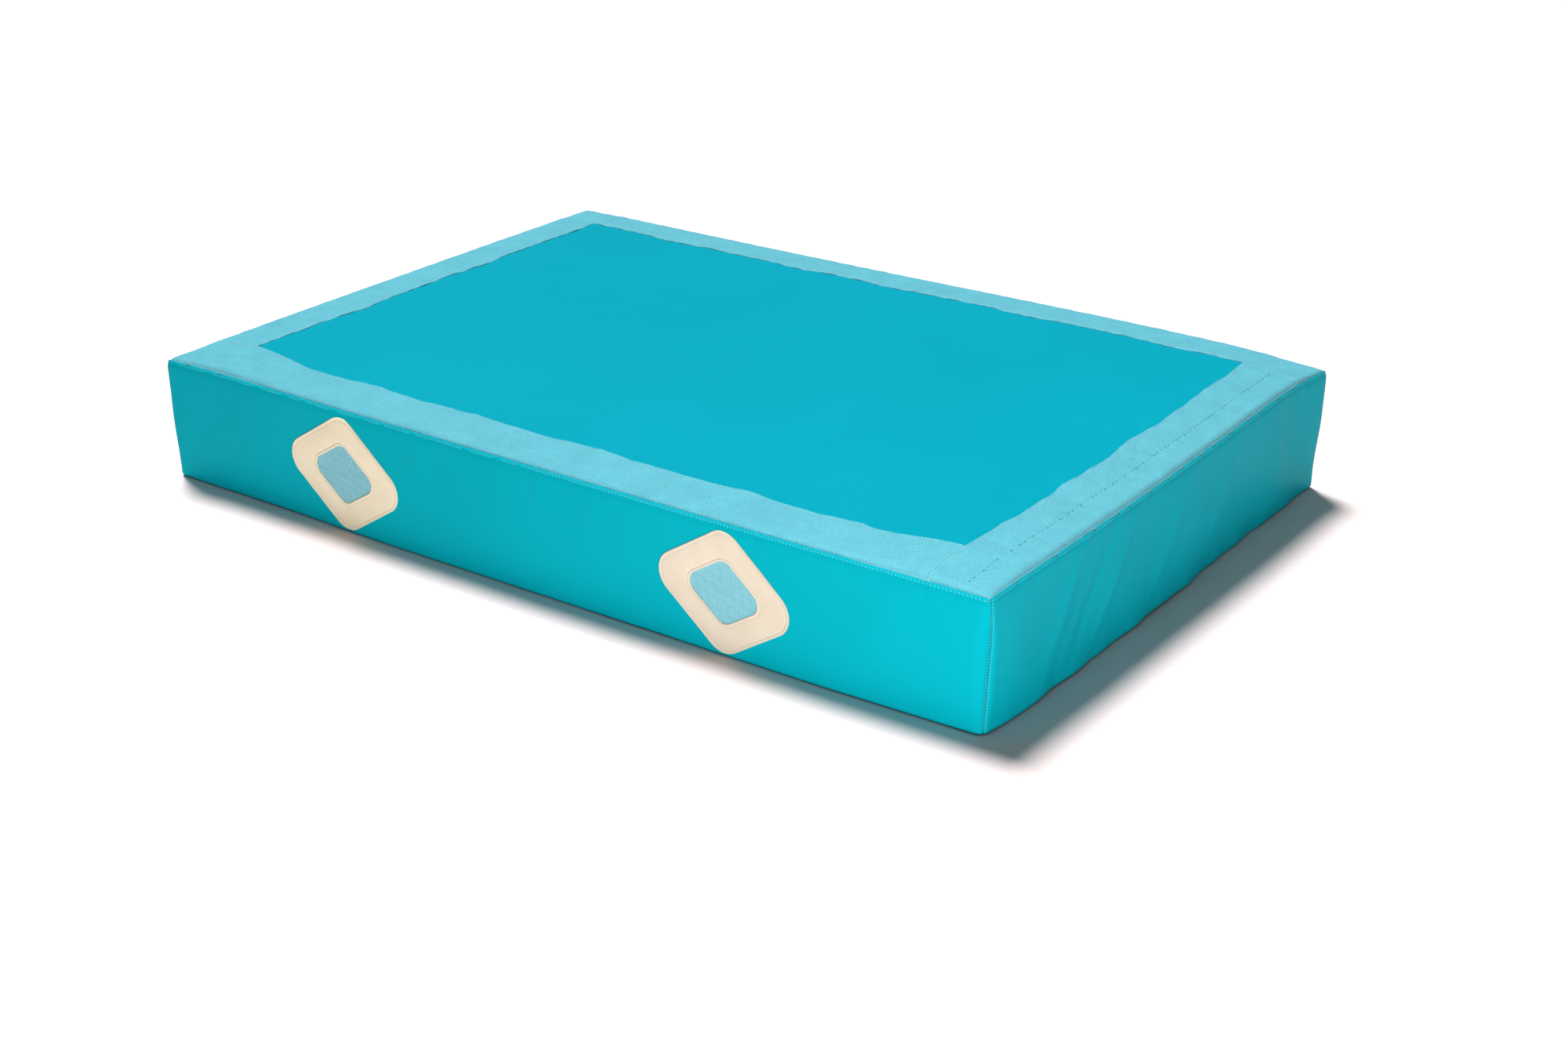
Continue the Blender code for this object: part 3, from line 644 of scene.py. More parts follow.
cornerPlaces = np.array([0, quarter + straightY, 2 * quarter + straightY + straightX,
                         3 * quarter + 2 * straightY + straightX]) + straightX / 2 + quarter / 2
seamLean = {"foot": 0.0016, "climb": 0.0034, "top": 0.0040}  # how far a seam stands past the corner's middle
cornerSeams = {"frontRight": (0, 1), "backRight": (1, -1), "backLeft": (2, 1), "frontLeft": (3, -1)}


def seamAt(name, z):
    # where a corner seam stands round the plan: just past the middle of the corner at the foot, leaning
    # towards the end of the mattress as it climbs
    corner, way = cornerSeams[name]
    share = np.clip(np.asarray(z, float) / edgeTop, 0, 1)
    lean = seamLean["foot"] + seamLean["climb"] * share + seamLean["top"] * share ** 4
    return cornerPlaces[corner] + way * lean


def fullness(s):  # 1 at the fuller front right corner, less at the three sharper ones
    return 0.28 + 0.72 * bell(gapRound(s, cornerPlaces[0]), 0.30)


def radiusAt(s, share):
    # the vertical corner is tight at the top edge, fuller at the middle and a little tighter below
    top, middle, foot = (cover[f"{level}CornerRadius"] for level in ("top", "middle", "foot"))
    radius = top + (middle - top) * smooth((1 - share) / 0.35)
    radius = radius + (foot - middle) * smooth((0.30 - share) / 0.30)
    return radius * fullness(s)


# Soft folds in the walls: place round the plan, height, slant (metres along per metre up), width, length,
# depth
rightEnd, backSide, leftEnd = cornerPlaces[:3]
wallFolds = [
    (rightEnd + 0.205, 0.120, 0.62, 0.016, 0.085, 0.0028),
    (rightEnd + 0.285, 0.118, 0.72, 0.015, 0.090, -0.0026),
    (rightEnd + 0.345, 0.110, 0.80, 0.014, 0.080, 0.0024),
    (rightEnd + 0.520, 0.105, 0.75, 0.018, 0.080, 0.0018),
    (rightEnd + 0.700, 0.110, 0.60, 0.020, 0.070, 0.0016),
    (rightEnd + 0.900, 0.120, -0.30, 0.018, 0.060, 0.0016),
    (-0.230, 0.160, 0.05, 0.010, 0.035, 0.0014),
    (-0.190, 0.165, -0.04, 0.009, 0.030, -0.0013),
    (0.010, 0.165, 0.04, 0.010, 0.030, 0.0013),
    (0.110, 0.160, -0.05, 0.010, 0.035, 0.0013),
    (0.590, 0.100, 0.30, 0.030, 0.070, 0.0012),
    (backSide + 0.300, 0.130, 0.70, 0.020, 0.050, 0.0020),
    (backSide + 0.780, 0.125, -0.60, 0.018, 0.050, 0.0020),
    (backSide + 1.120, 0.130, 0.40, 0.022, 0.050, 0.0018),
    (leftEnd + 0.250, 0.110, 0.60, 0.018, 0.085, 0.0022),
    (leftEnd + 0.520, 0.120, -0.50, 0.020, 0.080, 0.0020),
    (leftEnd + 0.760, 0.110, 0.65, 0.018, 0.080, 0.0022),
]
# Where the foot of a wall swells outwards: start and end round the plan, the length of each ramp, and how
# far
footSwells = [
    (-0.56, 0.77, 0.30, 0.30, 0.0062),
    (rightEnd + 0.010, rightEnd + 0.76, 0.110, 0.26, 0.0075),
    (leftEnd + 0.060, leftEnd + 1.000, 0.200, 0.20, 0.0070),
]
zipLow = float(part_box("zip_teeth_lower")[0][2])
zipHigh = float(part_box("zip_teeth_upper")[1][2])
zipMiddle = (zipLow + zipHigh) / 2


def gapRound(s, place):  # signed distance round the plan from a place
    return np.mod(s - place + perimeter / 2, perimeter) - perimeter / 2


def wallPoint(s, z, lift=0.0):
    # a place on the side of the cover: the plan outline pushed out by the foam's bulge and the folds,
    # turned in at the top edge, rolled under at the floor, and held straight along the zip
    share = np.clip(z / edgeTop, 0, 1)
    x, y, nx, ny = planAt(s, radiusAt(s, share))
    corner = np.clip(sum(bell(gapRound(s, place), 0.045) for place in cornerPlaces), 0, 1)
    middle = np.sin(math.pi * share) ** 0.8
    bulge = cover["bulge"] * middle * (1 - 0.8 * corner)
    bulge = bulge + ripple(s, 11, [(0.62, 0.0011), (0.29, 0.0006), (0.171, 0.0004)]) * middle * (1 - corner)
    bulge = bulge + unevenness(s, z, 21, 0.22, 0.0006) * middle
    for place, level, slant, width, length, depth in wallFolds:
        ridge = gapRound(s, place) - slant * (z - level)
        bulge = bulge + depth * bell(ridge, width) * bell(z - level, length)
    for start, end, rampIn, rampOut, depth in footSwells:
        place = gapRound(s, (start + end) / 2)
        half = (end - start) / 2
        bulge = bulge + depth * smooth((place + half) / rampIn) * smooth((half - place) / rampOut) * (
            np.clip(1 - z / 0.15, 0, 1) ** 1.6)
    pucker = ripple(s, 31, [(0.021, 0.00022), (0.034, 0.00030), (0.055, 0.0004)])
    calm = 1 - 0.85 * np.clip(-ny, 0, 1)
    waves = ripple(s, 35, [(0.17, 0.0011), (0.092, 0.0008)]) * calm
    bulge = bulge + pucker * bell(edgeTop - z, 0.022) + (0.4 * pucker * calm + waves) * bell(z, 0.035)
    onBack = np.clip(ny, 0, 1) * bell(z - zipMiddle, 0.040)
    bulge = bulge * (1 - np.clip(1.15 * onBack, 0, 1))
    for name in cornerSeams:
        gap = gapRound(s, seamAt(name, z))
        bulge = bulge - 0.0006 * bell(gap, 0.0013) + 0.0004 * bell(np.abs(gap) - 0.005, 0.003)
    turned = 0.8 * np.clip((z - edgeTop + cover["topRoll"]) / cover["topRoll"], 0, 1)
    topIn = cover["topTuck"] * (1 - np.sqrt(1 - turned ** 2)) / 0.4
    under = np.clip((cover["footRoll"] - z) / cover["footRoll"], 0, 1)
    footIn = cover["footTuck"] * (1 - np.sqrt(1 - under ** 2)) * (0.4 + 0.6 * fullness(s))
    out = bulge - topIn - footIn + lift
    driftX, driftY, rise = edgeDrift(x, y)
    held = 1 - np.clip(1.15 * onBack, 0, 1)
    follow = smooth(share * 1.5) ** 0.8 * held
    raised = 0.0010 * corner + np.clip(ripple(s, 41, [(0.9, 0.0016), (0.37, 0.0012)]), 0, 1) * calm
    level = z + rise * share ** 2 * held + raised * (1 - share) ** 4 * held
    return np.stack([x + nx * out + driftX * follow, y + ny * out + driftY * follow, level], axis=-1)


def wallSheet(name, start, end, low, high, replaces=(), step=0.005):
    # one cover panel between two seams: columns round the plan, rows closer together at the rounded
    # edges, and an opening behind each vent window
    t = np.linspace(0, 1, int(math.ceil((high - low) / step)) + 1)
    if high - low > 0.1:
        t = 0.5 * t + 0.5 * (0.5 - 0.5 * np.cos(math.pi * t))
    first, last = (seamAt(seam, edgeTop / 2) for seam in (start, end))
    turn = perimeter if start == "frontLeft" else 0.0
    along = spaced(first - turn, last, step)
    s, z = np.meshgrid(along, low + (high - low) * t)
    ends = [seamAt(seam, z) - seamAt(seam, edgeTop / 2) for seam in (start, end)]
    s = s + ends[0] * bell(s - along[0], 0.03) + ends[1] * bell(s - along[-1], 0.03)
    opening = np.zeros(((s.shape[0] - 1) * (s.shape[1] - 1),), bool)
    if name == "front_wall":
        faceS = ((s[1:, 1:] + s[:-1, :-1]) / 2).ravel()
        faceZ = ((z[1:, 1:] + z[:-1, :-1]) / 2).ravel()
        for centreX, centreZ, halfX, halfZ in ventOpenings:
            leaned = faceZ - centreZ + ventSkew * (faceS - centreX)
            inside = np.abs(faceS - centreX) / (halfX + 0.012) + np.abs(leaned) / (halfZ + 0.010) < 1
            opening |= inside
    return clothSheet(name, wallPoint(s, z), np.stack([s, z], axis=-1), wallTurquoise,
                      cover["skin"], replaces, opening)


ventSkew = 0.10  # both diamonds lean: drop per unit of length towards the right end
ventOpenings = []
for node in ("vent_mesh_left", "vent_mesh_right"):
    low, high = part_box(node)
    ventOpenings.append(((low[0] + high[0]) / 2, (low[2] + high[2]) / 2,
                         (high[0] - low[0]) / 2, (high[2] - low[2]) / 2))
slotLow = float(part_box("zip_panel_lower")[1][2])
slotHigh = float(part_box("side_panel_back")[0][2])
wallFoot = 0.0008
wallPlans = {
    "front_wall": ("frontLeft", "frontRight", wallFoot, edgeTop, "side_panel_front"),
    "right_wall": ("frontRight", "backRight", wallFoot, edgeTop, "side_panel_right"),
    "back_wall": ("backRight", "backLeft", slotHigh, edgeTop, "side_panel_back"),
    "back_wall_strip": ("backRight", "backLeft", wallFoot, slotLow, "zip_panel_lower"),
    "left_wall": ("backLeft", "frontLeft", wallFoot, edgeTop, "side_panel_left"),
}
for name, (start, end, low, high, node) in wallPlans.items():
    wallSheet(name, start, end, low, high, (node,))
print("walls made")


# Underside: a flat sheet whose edge turns up to meet the walls

def undersideRings():
    # rings from the walls' foot inwards to the middle: each is the foot outline scaled down, settling on
    # the floor
    s = spaced(0, perimeter, 0.012)[:-1]
    foot = wallPoint(s, np.full_like(s, wallFoot))
    inwards = np.concatenate([np.linspace(0, 0.05, 8), np.linspace(0.05, 1, 16)[1:]])
    settle = smooth(inwards / 0.045)[:, None]
    flat = foot[None, :, :2] * (1 - inwards)[:, None, None]
    sag = foot[None, :, 2] * (1 - settle) + 0.0014 * settle
    return np.concatenate([flat, sag[..., None]], axis=-1)


undersidePoints = undersideRings()
undersideFaces = gridFaces(*undersidePoints.shape[:2], False, True)
baseSheet = meshFrom("underside_sheet", undersidePoints.reshape(-1, 3), [undersideFaces], underside,
                     weld=1e-6)
baseWall = baseSheet.modifiers.new("thickness", "SOLIDIFY")
baseWall.thickness = 0.0010
baseWall.offset = 1
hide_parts("cover_base")
print("underside made")


# Lying surface: a smooth centre panel framed by four loop bands

def topSheet(name, xs, ys, lift, material, slotName, thickness, texture=None, replaces=()):
    # a piece of the lying surface over a rectangle of the plan, with its own fine relief
    x, y = np.meshgrid(xs, ys)
    points = topPoint(x, y, lift)
    if texture is not None:
        points[..., 2] += texture(x, y)
    return clothSheet(name, points, np.stack([x, y], axis=-1), material, thickness, replaces)


panelOverlap = 0.006  # how far the centre panel runs under the bands


def panelRelief(x, y):  # the centre panel dips a little at its seam and is drawn into shallow pleats there
    edge = np.minimum(innerL - np.abs(x), innerW - np.abs(y))
    pleats = ripple(x + 0.6 * y, 51, [(0.031, 0.0002), (0.052, 0.0003), (0.083, 0.0003)])
    return -0.0003 * bell(edge, 0.007) + pleats * bell(edge, 0.030)


centrePanel = topSheet("centre_panel", spaced(-innerL - panelOverlap, innerL + panelOverlap, 0.006),
                       spaced(-innerW - panelOverlap, innerW + panelOverlap, 0.006), 0.0, turquoise,
                       "cover_fabric", cover["skin"], panelRelief, ("top_panel",))

loopBand = {
    "pileHeight": 0.00035,
    "edgeRipple": 0.0006,
    "midGroove": 0.0011,
    "midPlace": 0.047,  # stitched line along the middle of the right band, from its outer edge
    "step": 0.0028,
    "edgeWidth": 0.0022,  # woven selvedge along the inner edge
    "rimWidth": 0.0014,  # turned edge along the outer side
    "skin": 0.0018,
}


def bandRelief(x, y, midLine):
    # the pile's uneven top, ripples along the inner edge, and a stitched groove down the middle of one band
    edge = np.minimum(halfL - np.abs(x), halfW - np.abs(y))
    loops = unevenness(x, y, 61, 0.0062, loopBand["pileHeight"]) + unevenness(x, y, 62, 0.028, 0.00035)
    ripples = ripple(x + y, 71, [(0.024, 0.3), (0.041, 0.4), (0.067, 0.5)]) * loopBand["edgeRipple"]
    height = loops + ripples * bell(bandWidth - edge, 0.016)
    if midLine:
        gap = halfL - x - loopBand["midPlace"]
        pulled = 0.7 + 0.3 * np.sin(2 * math.pi * y / 0.012)
        height = height - loopBand["midGroove"] * pulled * bell(gap, 0.0020)
        height = height + ripple(y, 72, [(0.019, 0.0003), (0.033, 0.0003)]) * bell(gap, 0.010)
    height = height - 0.0006 * smooth((edge - bandWidth + 0.0020) / 0.0020)
    return height - 0.0018 * smooth((0.0030 - edge) / 0.0030)


def innerRoll(x, y):  # how far the band's inner edge rolls down towards the centre panel
    edge = np.minimum(halfL - np.abs(x), halfW - np.abs(y))
    return -0.0009 * smooth((edge - bandWidth + 0.0022) / 0.0022) - 0.0008 * smooth((0.0030 - edge) / 0.0030)


def edgeRelief(x, y):  # the selvedge is ribbed every few millimetres and follows the band's ripples
    return bandRelief(x, y, False) * 0.6 + 0.00015 * np.sin(2 * math.pi * (x + y) / 0.0035) + innerRoll(x, y)


bandPlans = {
    "front": ((-halfL, innerL), (-halfW, -innerW)),
    "back": ((-innerL, halfL), (innerW, halfW)),
    "left": ((-halfL, -innerL), (-innerW, halfW)),
    "right": ((innerL, halfL), (-halfW, innerW)),
}
bandTrims = {}
for side, ((x0, x1), (y0, y1)) in bandPlans.items():
    step = loopBand["step"]
    topSheet(f"{side}_loop_band", spaced(x0, x1, step), spaced(y0, y1, step), cover["bandLift"],
                           pile, "loop_band", loopBand["skin"],
                           lambda x, y, side=side: bandRelief(x, y, side == "right"), (f"loop_band_{side}",))
    width = loopBand["edgeWidth"]
    strip = np.linspace(0, width, 5)
    rim = np.linspace(0, loopBand["rimWidth"], 4)
    lift = cover["bandLift"] + 0.0003
    if side in ("front", "back"):
        inner, outer = (y1, y0) if side == "front" else (y0, y1)
        way = 1 if side == "front" else -1
        innerStrip = (spaced(x0, x1, 0.0018), np.sort(inner - way * strip))
        outerStrip = (spaced(x0, x1, 0.0018), np.sort(outer + way * rim))
    else:
        inner, outer = (x0, x1) if side == "right" else (x1, x0)
        way = 1 if side == "right" else -1
        innerStrip = (np.sort(inner + way * strip), spaced(y0, y1, 0.0018))
        outerStrip = (np.sort(outer - way * rim), spaced(y0, y1, 0.0018))
    bandTrims[side] = [
        topSheet(f"{side}_band_inner_selvedge", *innerStrip, lift, selvedge, "loop_band", 0.0012, edgeRelief),
        topSheet(f"{side}_band_outer_edge", *outerStrip, lift, turnedEdge, "loop_band", 0.0012, edgeRelief),
    ]
print("lying surface made")


# Vents: cream vinyl diamonds on the front, each with a knitted mesh window
vent = {
    "skin": 0.0017,
    "patchRadius": 0.036,
    "windowRadius": 0.018,
    "rim": 0.0042,  # edge to topstitch
    "threadPitch": 0.0027,
    "rowThread": 0.00058,  # radius of the mesh's weft yarns
    "columnThread": 0.00040,
    "stitchPitch": 0.0042,
    "thread": 0.00055,
}


def grownOutline(core, radius, arcSteps, edgeSteps):
    # a convex core grown outwards by a radius: an arc round each of its corners and a straight run along
    # each side. core holds the corners anticlockwise, and the same steps always give matching points
    core = np.asarray(core, float)
    following = np.roll(core, -1, axis=0)
    before = np.roll(core, 1, axis=0)
    leaving = np.arctan2(*(following - core).T[::-1]) - math.pi / 2
    arriving = np.arctan2(*(core - before).T[::-1]) - math.pi / 2
    sweep = np.mod(leaving - arriving, 2 * math.pi)
    t = np.linspace(0, 1, arcSteps)
    angle = arriving[:, None] + sweep[:, None] * t[None, :]
    arcs = core[:, None, :] + radius * np.stack([np.cos(angle), np.sin(angle)], axis=-1)
    u = np.linspace(0, 1, edgeSteps + 2)[1:-1]
    startRun = arcs[:, -1][:, None, :]
    endRun = np.roll(arcs[:, 0], -1, axis=0)[:, None, :]
    runs = startRun + (endRun - startRun) * u[None, :, None]
    return np.concatenate([arcs, runs], axis=1).reshape(-1, 2)


def diamondCore(half, radius):
    a = half[0] - radius
    b = half[1] - radius
    return [(a, 0), (0, b), (-a, 0), (0, -b)]


def ventPoint(centre, across, up, lift=0.0):  # the front wall round a vent, by the vent's own leaning axes
    z = centre[1] + up - ventSkew * across
    return wallPoint(centre[0] + across, np.clip(z, 0.0012, None), lift)


def backPoint(x, z, lift=0.0):  # the back wall, by x and height; x runs the other way round the plan
    return wallPoint(backMiddle - x, z, lift)


backMiddle = straightX / 2 + quarter + straightY + quarter + straightX / 2

ventNodes = {"left": ("vent_patch_left", "vent_mesh_left"), "right": ("vent_patch_right", "vent_mesh_right")}
ventPieces = {}


def ventPatch(name, centre, outer, inner, vinyl, replaces):
    # profile carried round between two rounded diamonds: rim bead, topstitch groove, softly puffed face,
    # and the same again at the window; distances from the edges in metres, heights above the wall
    outerCore = diamondCore(outer, vent["patchRadius"])
    innerCore = diamondCore(inner, vent["windowRadius"])
    steps = (18, 26)
    rings = []
    heights = []
    rimShape = [(0.0, 0.0000), (0.0, 0.0009), (0.0004, 0.0017), (0.0012, 0.0021), (0.0022, 0.0021),
                (0.0032, 0.0017), (0.0040, 0.0011), (0.0048, 0.0012), (0.0058, 0.0016), (0.0085, 0.0018),
                (0.0120, 0.0019)]
    for inset, height in rimShape:
        rings.append(grownOutline(outerCore, vent["patchRadius"] - inset, *steps))
        heights.append(height)
    last = rings[-1]
    innerShape = rimShape[::-1]
    first = grownOutline(innerCore, vent["windowRadius"] + innerShape[0][0], *steps)
    for t in (0.2, 0.4, 0.6, 0.8):
        rings.append(last + (first - last) * t)
        heights.append(0.0019 + 0.0004 * math.sin(math.pi * t))
    for inset, height in innerShape:
        rings.append(grownOutline(innerCore, vent["windowRadius"] + inset, *steps))
        heights.append(height)
    rings.append(rings[-1])
    heights.append(-0.0004)
    middle = (rings[0] + rings[-1]) / 2
    rings.append(middle)
    heights.append(-0.0004)
    rings.append(rings[0])
    heights.append(-0.0004)
    plan = np.array(rings)
    height = np.array(heights)[:, None] + 0.0 * plan[..., 0]
    wave = unevenness(centre[0] + plan[..., 0], plan[..., 1], 81, 0.045, 0.0002) * (height > 0.001)
    points = ventPoint(centre, plan[..., 0], plan[..., 1], height + wave)
    rows, columns = points.shape[:2]
    piece = meshFrom(name, points.reshape(-1, 3), [gridFaces(rows, columns, True, True)[:, ::-1]], vinyl)
    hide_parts(replaces)
    return piece


def ringStitches(name, centre, core, radius, pitch, thread, material, surface, slotName):
    # stitches evenly spaced round a grown outline
    loop = grownOutline(core, radius, 40, 60)
    closed = np.concatenate([loop, loop[:1]])
    reach = np.concatenate([[0], np.cumsum(np.linalg.norm(np.diff(closed, axis=0), axis=1))])
    starts, ends = evenRow(0, reach[-1], pitch)
    places = []
    for t in (starts, ends):
        run = np.mod(t, reach[-1])
        places.append(np.stack([np.interp(run, reach, closed[:, k]) + centre[k] for k in (0, 1)], axis=-1))
    return stitchRow(name, surface, *places, thread, material, slotName)


def meshWindow(name, centre, half, replaces):
    # two families of yarns across the window, each a swept thread whose height weaves over and under the
    # other
    pitch = vent["threadPitch"]
    # the yarns reach as far as the rounded window's straight sides, and a margin under the patch
    reach = np.array(half) * 1.14 + 0.004
    parts = []
    faceSets = []
    offset = 0
    sides = 4
    for family, (across, along) in enumerate(((1, 0), (0, 1))):
        radius = vent["rowThread"] if family == 0 else vent["columnThread"]
        count = int(reach[across] / pitch)
        lanes = np.arange(-count, count + 1) * pitch
        span = reach[along] * (1 - np.abs(lanes) / reach[across])
        lanes = lanes[span > 0.004]
        span = span[span > 0.004]
        stations = 25
        t = np.linspace(-1, 1, stations)
        run = span[:, None] * t[None, :]
        lane = np.broadcast_to(lanes[:, None], run.shape)
        weave = 0.00028 * np.cos(math.pi * run / pitch) * (1 if family == 0 else -1)
        slack = 0.0003 * np.sin(7 * run / reach[along] + lane * 400)
        x, z = (run, lane + slack) if family == 0 else (lane + slack, run)
        path = ventPoint(centre, x, z, weave - 0.0006)
        turn = np.arange(sides) * 2 * math.pi / sides + math.pi / 4
        alongDir = np.array([1.0, 0, 0]) if family == 0 else np.array([0, 0, 1.0])
        acrossDir = np.array([0, 0, 1.0]) if family == 0 else np.array([1.0, 0, 0])
        outDir = np.array([0, -1.0, 0])
        ring = radius * (np.cos(turn)[:, None] * acrossDir + np.sin(turn)[:, None] * outDir)
        rings = path[:, :, None, :] + ring[None, None]
        tips = path[:, [0, -1], None, :] + np.array([-1, 1])[None, :, None, None] * alongDir * radius
        tips = np.repeat(tips, sides, axis=2)
        full = np.concatenate([tips[:, :1], rings, tips[:, 1:]], axis=1)
        rows = stations + 2
        faces = gridFaces(rows, sides, False, True)
        shiftBy = (np.arange(len(lanes)) * rows * sides)[:, None, None]
        faces = (faces[None] + shiftBy).reshape(-1, 4) + offset
        parts.append(full.reshape(-1, 3))
        faceSets.append(faces if family else faces[:, ::-1])
        offset += len(lanes) * rows * sides
    piece = meshFrom(name, np.concatenate(parts), faceSets, knitMesh, weld=1e-7)
    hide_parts(replaces)
    return piece


def shadeSheetBehindMesh(name, centre, half):
    # painted shade behind the mesh: a turquoise sheet, darker than the yarn, standing for the dim inside
    #  seen through the window. It fills the window's diamond with rings that close on its middle
    core = diamondCore(half, vent["windowRadius"])
    edge = grownOutline(core, vent["windowRadius"] + 0.003, 10, 14)
    shares = np.array([1.0, 0.97, 0.8, 0.6, 0.4, 0.2, 0.0])
    plan = edge[None] * shares[:, None, None]
    out = ventPoint(centre, plan[..., 0], plan[..., 1], -0.0019)
    back = ventPoint(centre, plan[..., 0], plan[..., 1], -0.0023)
    rings = np.concatenate([back[::-1], out])
    return closedRings(name, rings[:, ::-1], shadeBehindMesh)


for side, (patchNode, meshNode) in ventNodes.items():
    low, high = (np.array(c, float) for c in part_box(patchNode))
    meshLow, meshHigh = (np.array(c, float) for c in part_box(meshNode))
    centre = (float(low[0] + high[0]) / 2, float(low[2] + high[2]) / 2)
    patchHalf = (float(high[0] - low[0]) / 2, float(high[2] - low[2]) / 2)
    windowHalf = (float(meshHigh[0] - meshLow[0]) / 2 - 0.004, float(meshHigh[2] - meshLow[2]) / 2 - 0.004)
    # each vent takes its own copy of the vinyl, lighter on the left, darker on the right: painted light and
    # shade
    vinyl = lighterLeftVinyl if side == "left" else darkerRightVinyl
    patch = ventPatch(f"{side}_vent_patch", centre, patchHalf, windowHalf, vinyl, patchNode)
    net = meshWindow(f"{side}_vent_mesh", centre, windowHalf, meshNode)
    # the sheet behind the mesh is painted shade for the inside seen through the window
    shadeSheet = shadeSheetBehindMesh(f"{side}_vent_shade_sheet", centre, windowHalf)
    surface = lambda x, z, centre=centre: ventPoint(centre, x, z, 0.0011)
    outerCore = diamondCore(patchHalf, vent["patchRadius"])
    innerCore = diamondCore(windowHalf, vent["windowRadius"])
    outerStitch = ringStitches(f"{side}_vent_outer_stitching", (0, 0), outerCore,
                               vent["patchRadius"] - vent["rim"], vent["stitchPitch"], vent["thread"],
                               creamThread, surface, "patch_vinyl")
    innerStitch = ringStitches(f"{side}_vent_window_stitching", (0, 0), innerCore,
                               vent["windowRadius"] + vent["rim"], vent["stitchPitch"], vent["thread"],
                               creamThread, surface, "patch_vinyl")
    ventPieces[side] = (patch, net, shadeSheet, outerStitch, innerStitch, patchHalf, windowHalf)
print("vents made")


# Sewing: rows of stitches along the edges and seams
sewing = {
    "edgePitch": 0.0058,
    "edgeDrop": 0.0034,  # from the top edge down to its row of stitches
    "thread": 0.0007,
    "slant": 0.0008,
    "seamPitch": 0.0043,
    "seamGap": 0.0016,  # from a corner seam to the row of stitches on each side of it
    "bandPitch": 0.0052,
    "middlePitch": 0.0120,
    "zipPitch": 0.0050,
}
edgeStart, edgeEnd = evenRow(0, perimeter, sewing["edgePitch"], 0.50)
edgeLevel = edgeTop - sewing["edgeDrop"]
topEdgeStitching = stitchRow(
    "top_edge_stitching", wallPoint,
    np.stack([edgeStart, np.full_like(edgeStart, edgeLevel + sewing["slant"])], axis=-1),
    np.stack([edgeEnd, np.full_like(edgeEnd, edgeLevel - sewing["slant"])], axis=-1),
    sewing["thread"], paleThread)

cornerStarts = []
cornerEnds = []
for name in cornerSeams:
    for offset in (-sewing["seamGap"], sewing["seamGap"]):
        low, high = evenRow(0.008, edgeTop - 0.006, sewing["seamPitch"], 0.52)
        cornerStarts.append(np.stack([seamAt(name, low) + offset, low], axis=-1))
        cornerEnds.append(np.stack([seamAt(name, high) + offset, high], axis=-1))
cornerStitching = stitchRow("corner_seam_stitching", wallPoint, np.concatenate(cornerStarts),
                            np.concatenate(cornerEnds), sewing["thread"], paleThread)


def bandTop(x, y):  # just above the loop bands, where their stitches lie
    return topPoint(x, y, cover["bandLift"] + 0.0004)


for side, ((x0, x1), (y0, y1)) in bandPlans.items():
    inset = loopBand["edgeWidth"] * 0.5
    if side in ("front", "back"):
        level = y1 - inset if side == "front" else y0 + inset
        low, high = evenRow(x0 + 0.004, x1 - 0.004, sewing["bandPitch"])
        starts = np.stack([low, np.full_like(low, level)], axis=-1)
        ends = np.stack([high, np.full_like(high, level)], axis=-1)
    else:
        level = x0 + inset if side == "right" else x1 - inset
        low, high = evenRow(y0 + 0.004, y1 - 0.004, sewing["bandPitch"])
        starts = np.stack([np.full_like(low, level), low], axis=-1)
        ends = np.stack([np.full_like(high, level), high], axis=-1)
    bandTrims[side].append(stitchRow(f"{side}_band_stitching", bandTop, starts, ends, sewing["thread"],
                                     paleThread, "loop_band"))
low, high = evenRow(-halfW + 0.006, innerW - 0.006, sewing["middlePitch"], 0.62)
midX = halfL - loopBand["midPlace"]
midStitching = stitchRow("right_band_middle_stitching",
                         lambda x, y: topPoint(x, y, cover["bandLift"] - 0.0006),
                         np.stack([np.full_like(low, midX), low], axis=-1),
                         np.stack([np.full_like(high, midX), high], axis=-1), sewing["thread"], deepThread,
                         "loop_band")
bandTrims["right"].append(midStitching)
print("sewing made")


# Zip along the back
zipper = {"toothPitch": 0.0030, "toothWidth": 0.0017, "toothReach": 0.0002, "tapeSkin": 0.0008}


def tapeSheet(name, node):
    # a flat woven tape: straight beside the teeth, slightly wavy at its free edge, with closed faces all
    # round
    low, high = (np.array(c, float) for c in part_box(node))
    xs = spaced(float(low[0]), float(high[0]), 0.006)
    zs = np.linspace(float(low[2]), float(high[2]), 9)
    x, z = np.meshgrid(xs, zs)
    free = np.clip(np.abs(z - zipMiddle) - 0.010, 0, None) / 0.014
    y = float(low[1]) + 0.0 * x
    y = y - 0.0004 * free * (1 + np.sin(2 * math.pi * x / 0.21))
    back = np.stack([x, y, z], axis=-1)
    front = np.stack([x, y + zipper["tapeSkin"], z], axis=-1)
    rings = np.concatenate([front, back[::-1]])
    uvs = np.stack([np.concatenate([x, x]), np.concatenate([z, z[::-1]])], axis=-1)
    piece = meshFrom(name, rings.reshape(-1, 3), [gridFaces(*rings.shape[:2], True, False)], zipTape,
                     uv=uvs.reshape(-1, 2))
    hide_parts(node)
    return piece


upperTape = tapeSheet("upper_zip_tape", "zip_tape_upper")
lowerTape = tapeSheet("lower_zip_tape", "zip_tape_lower")


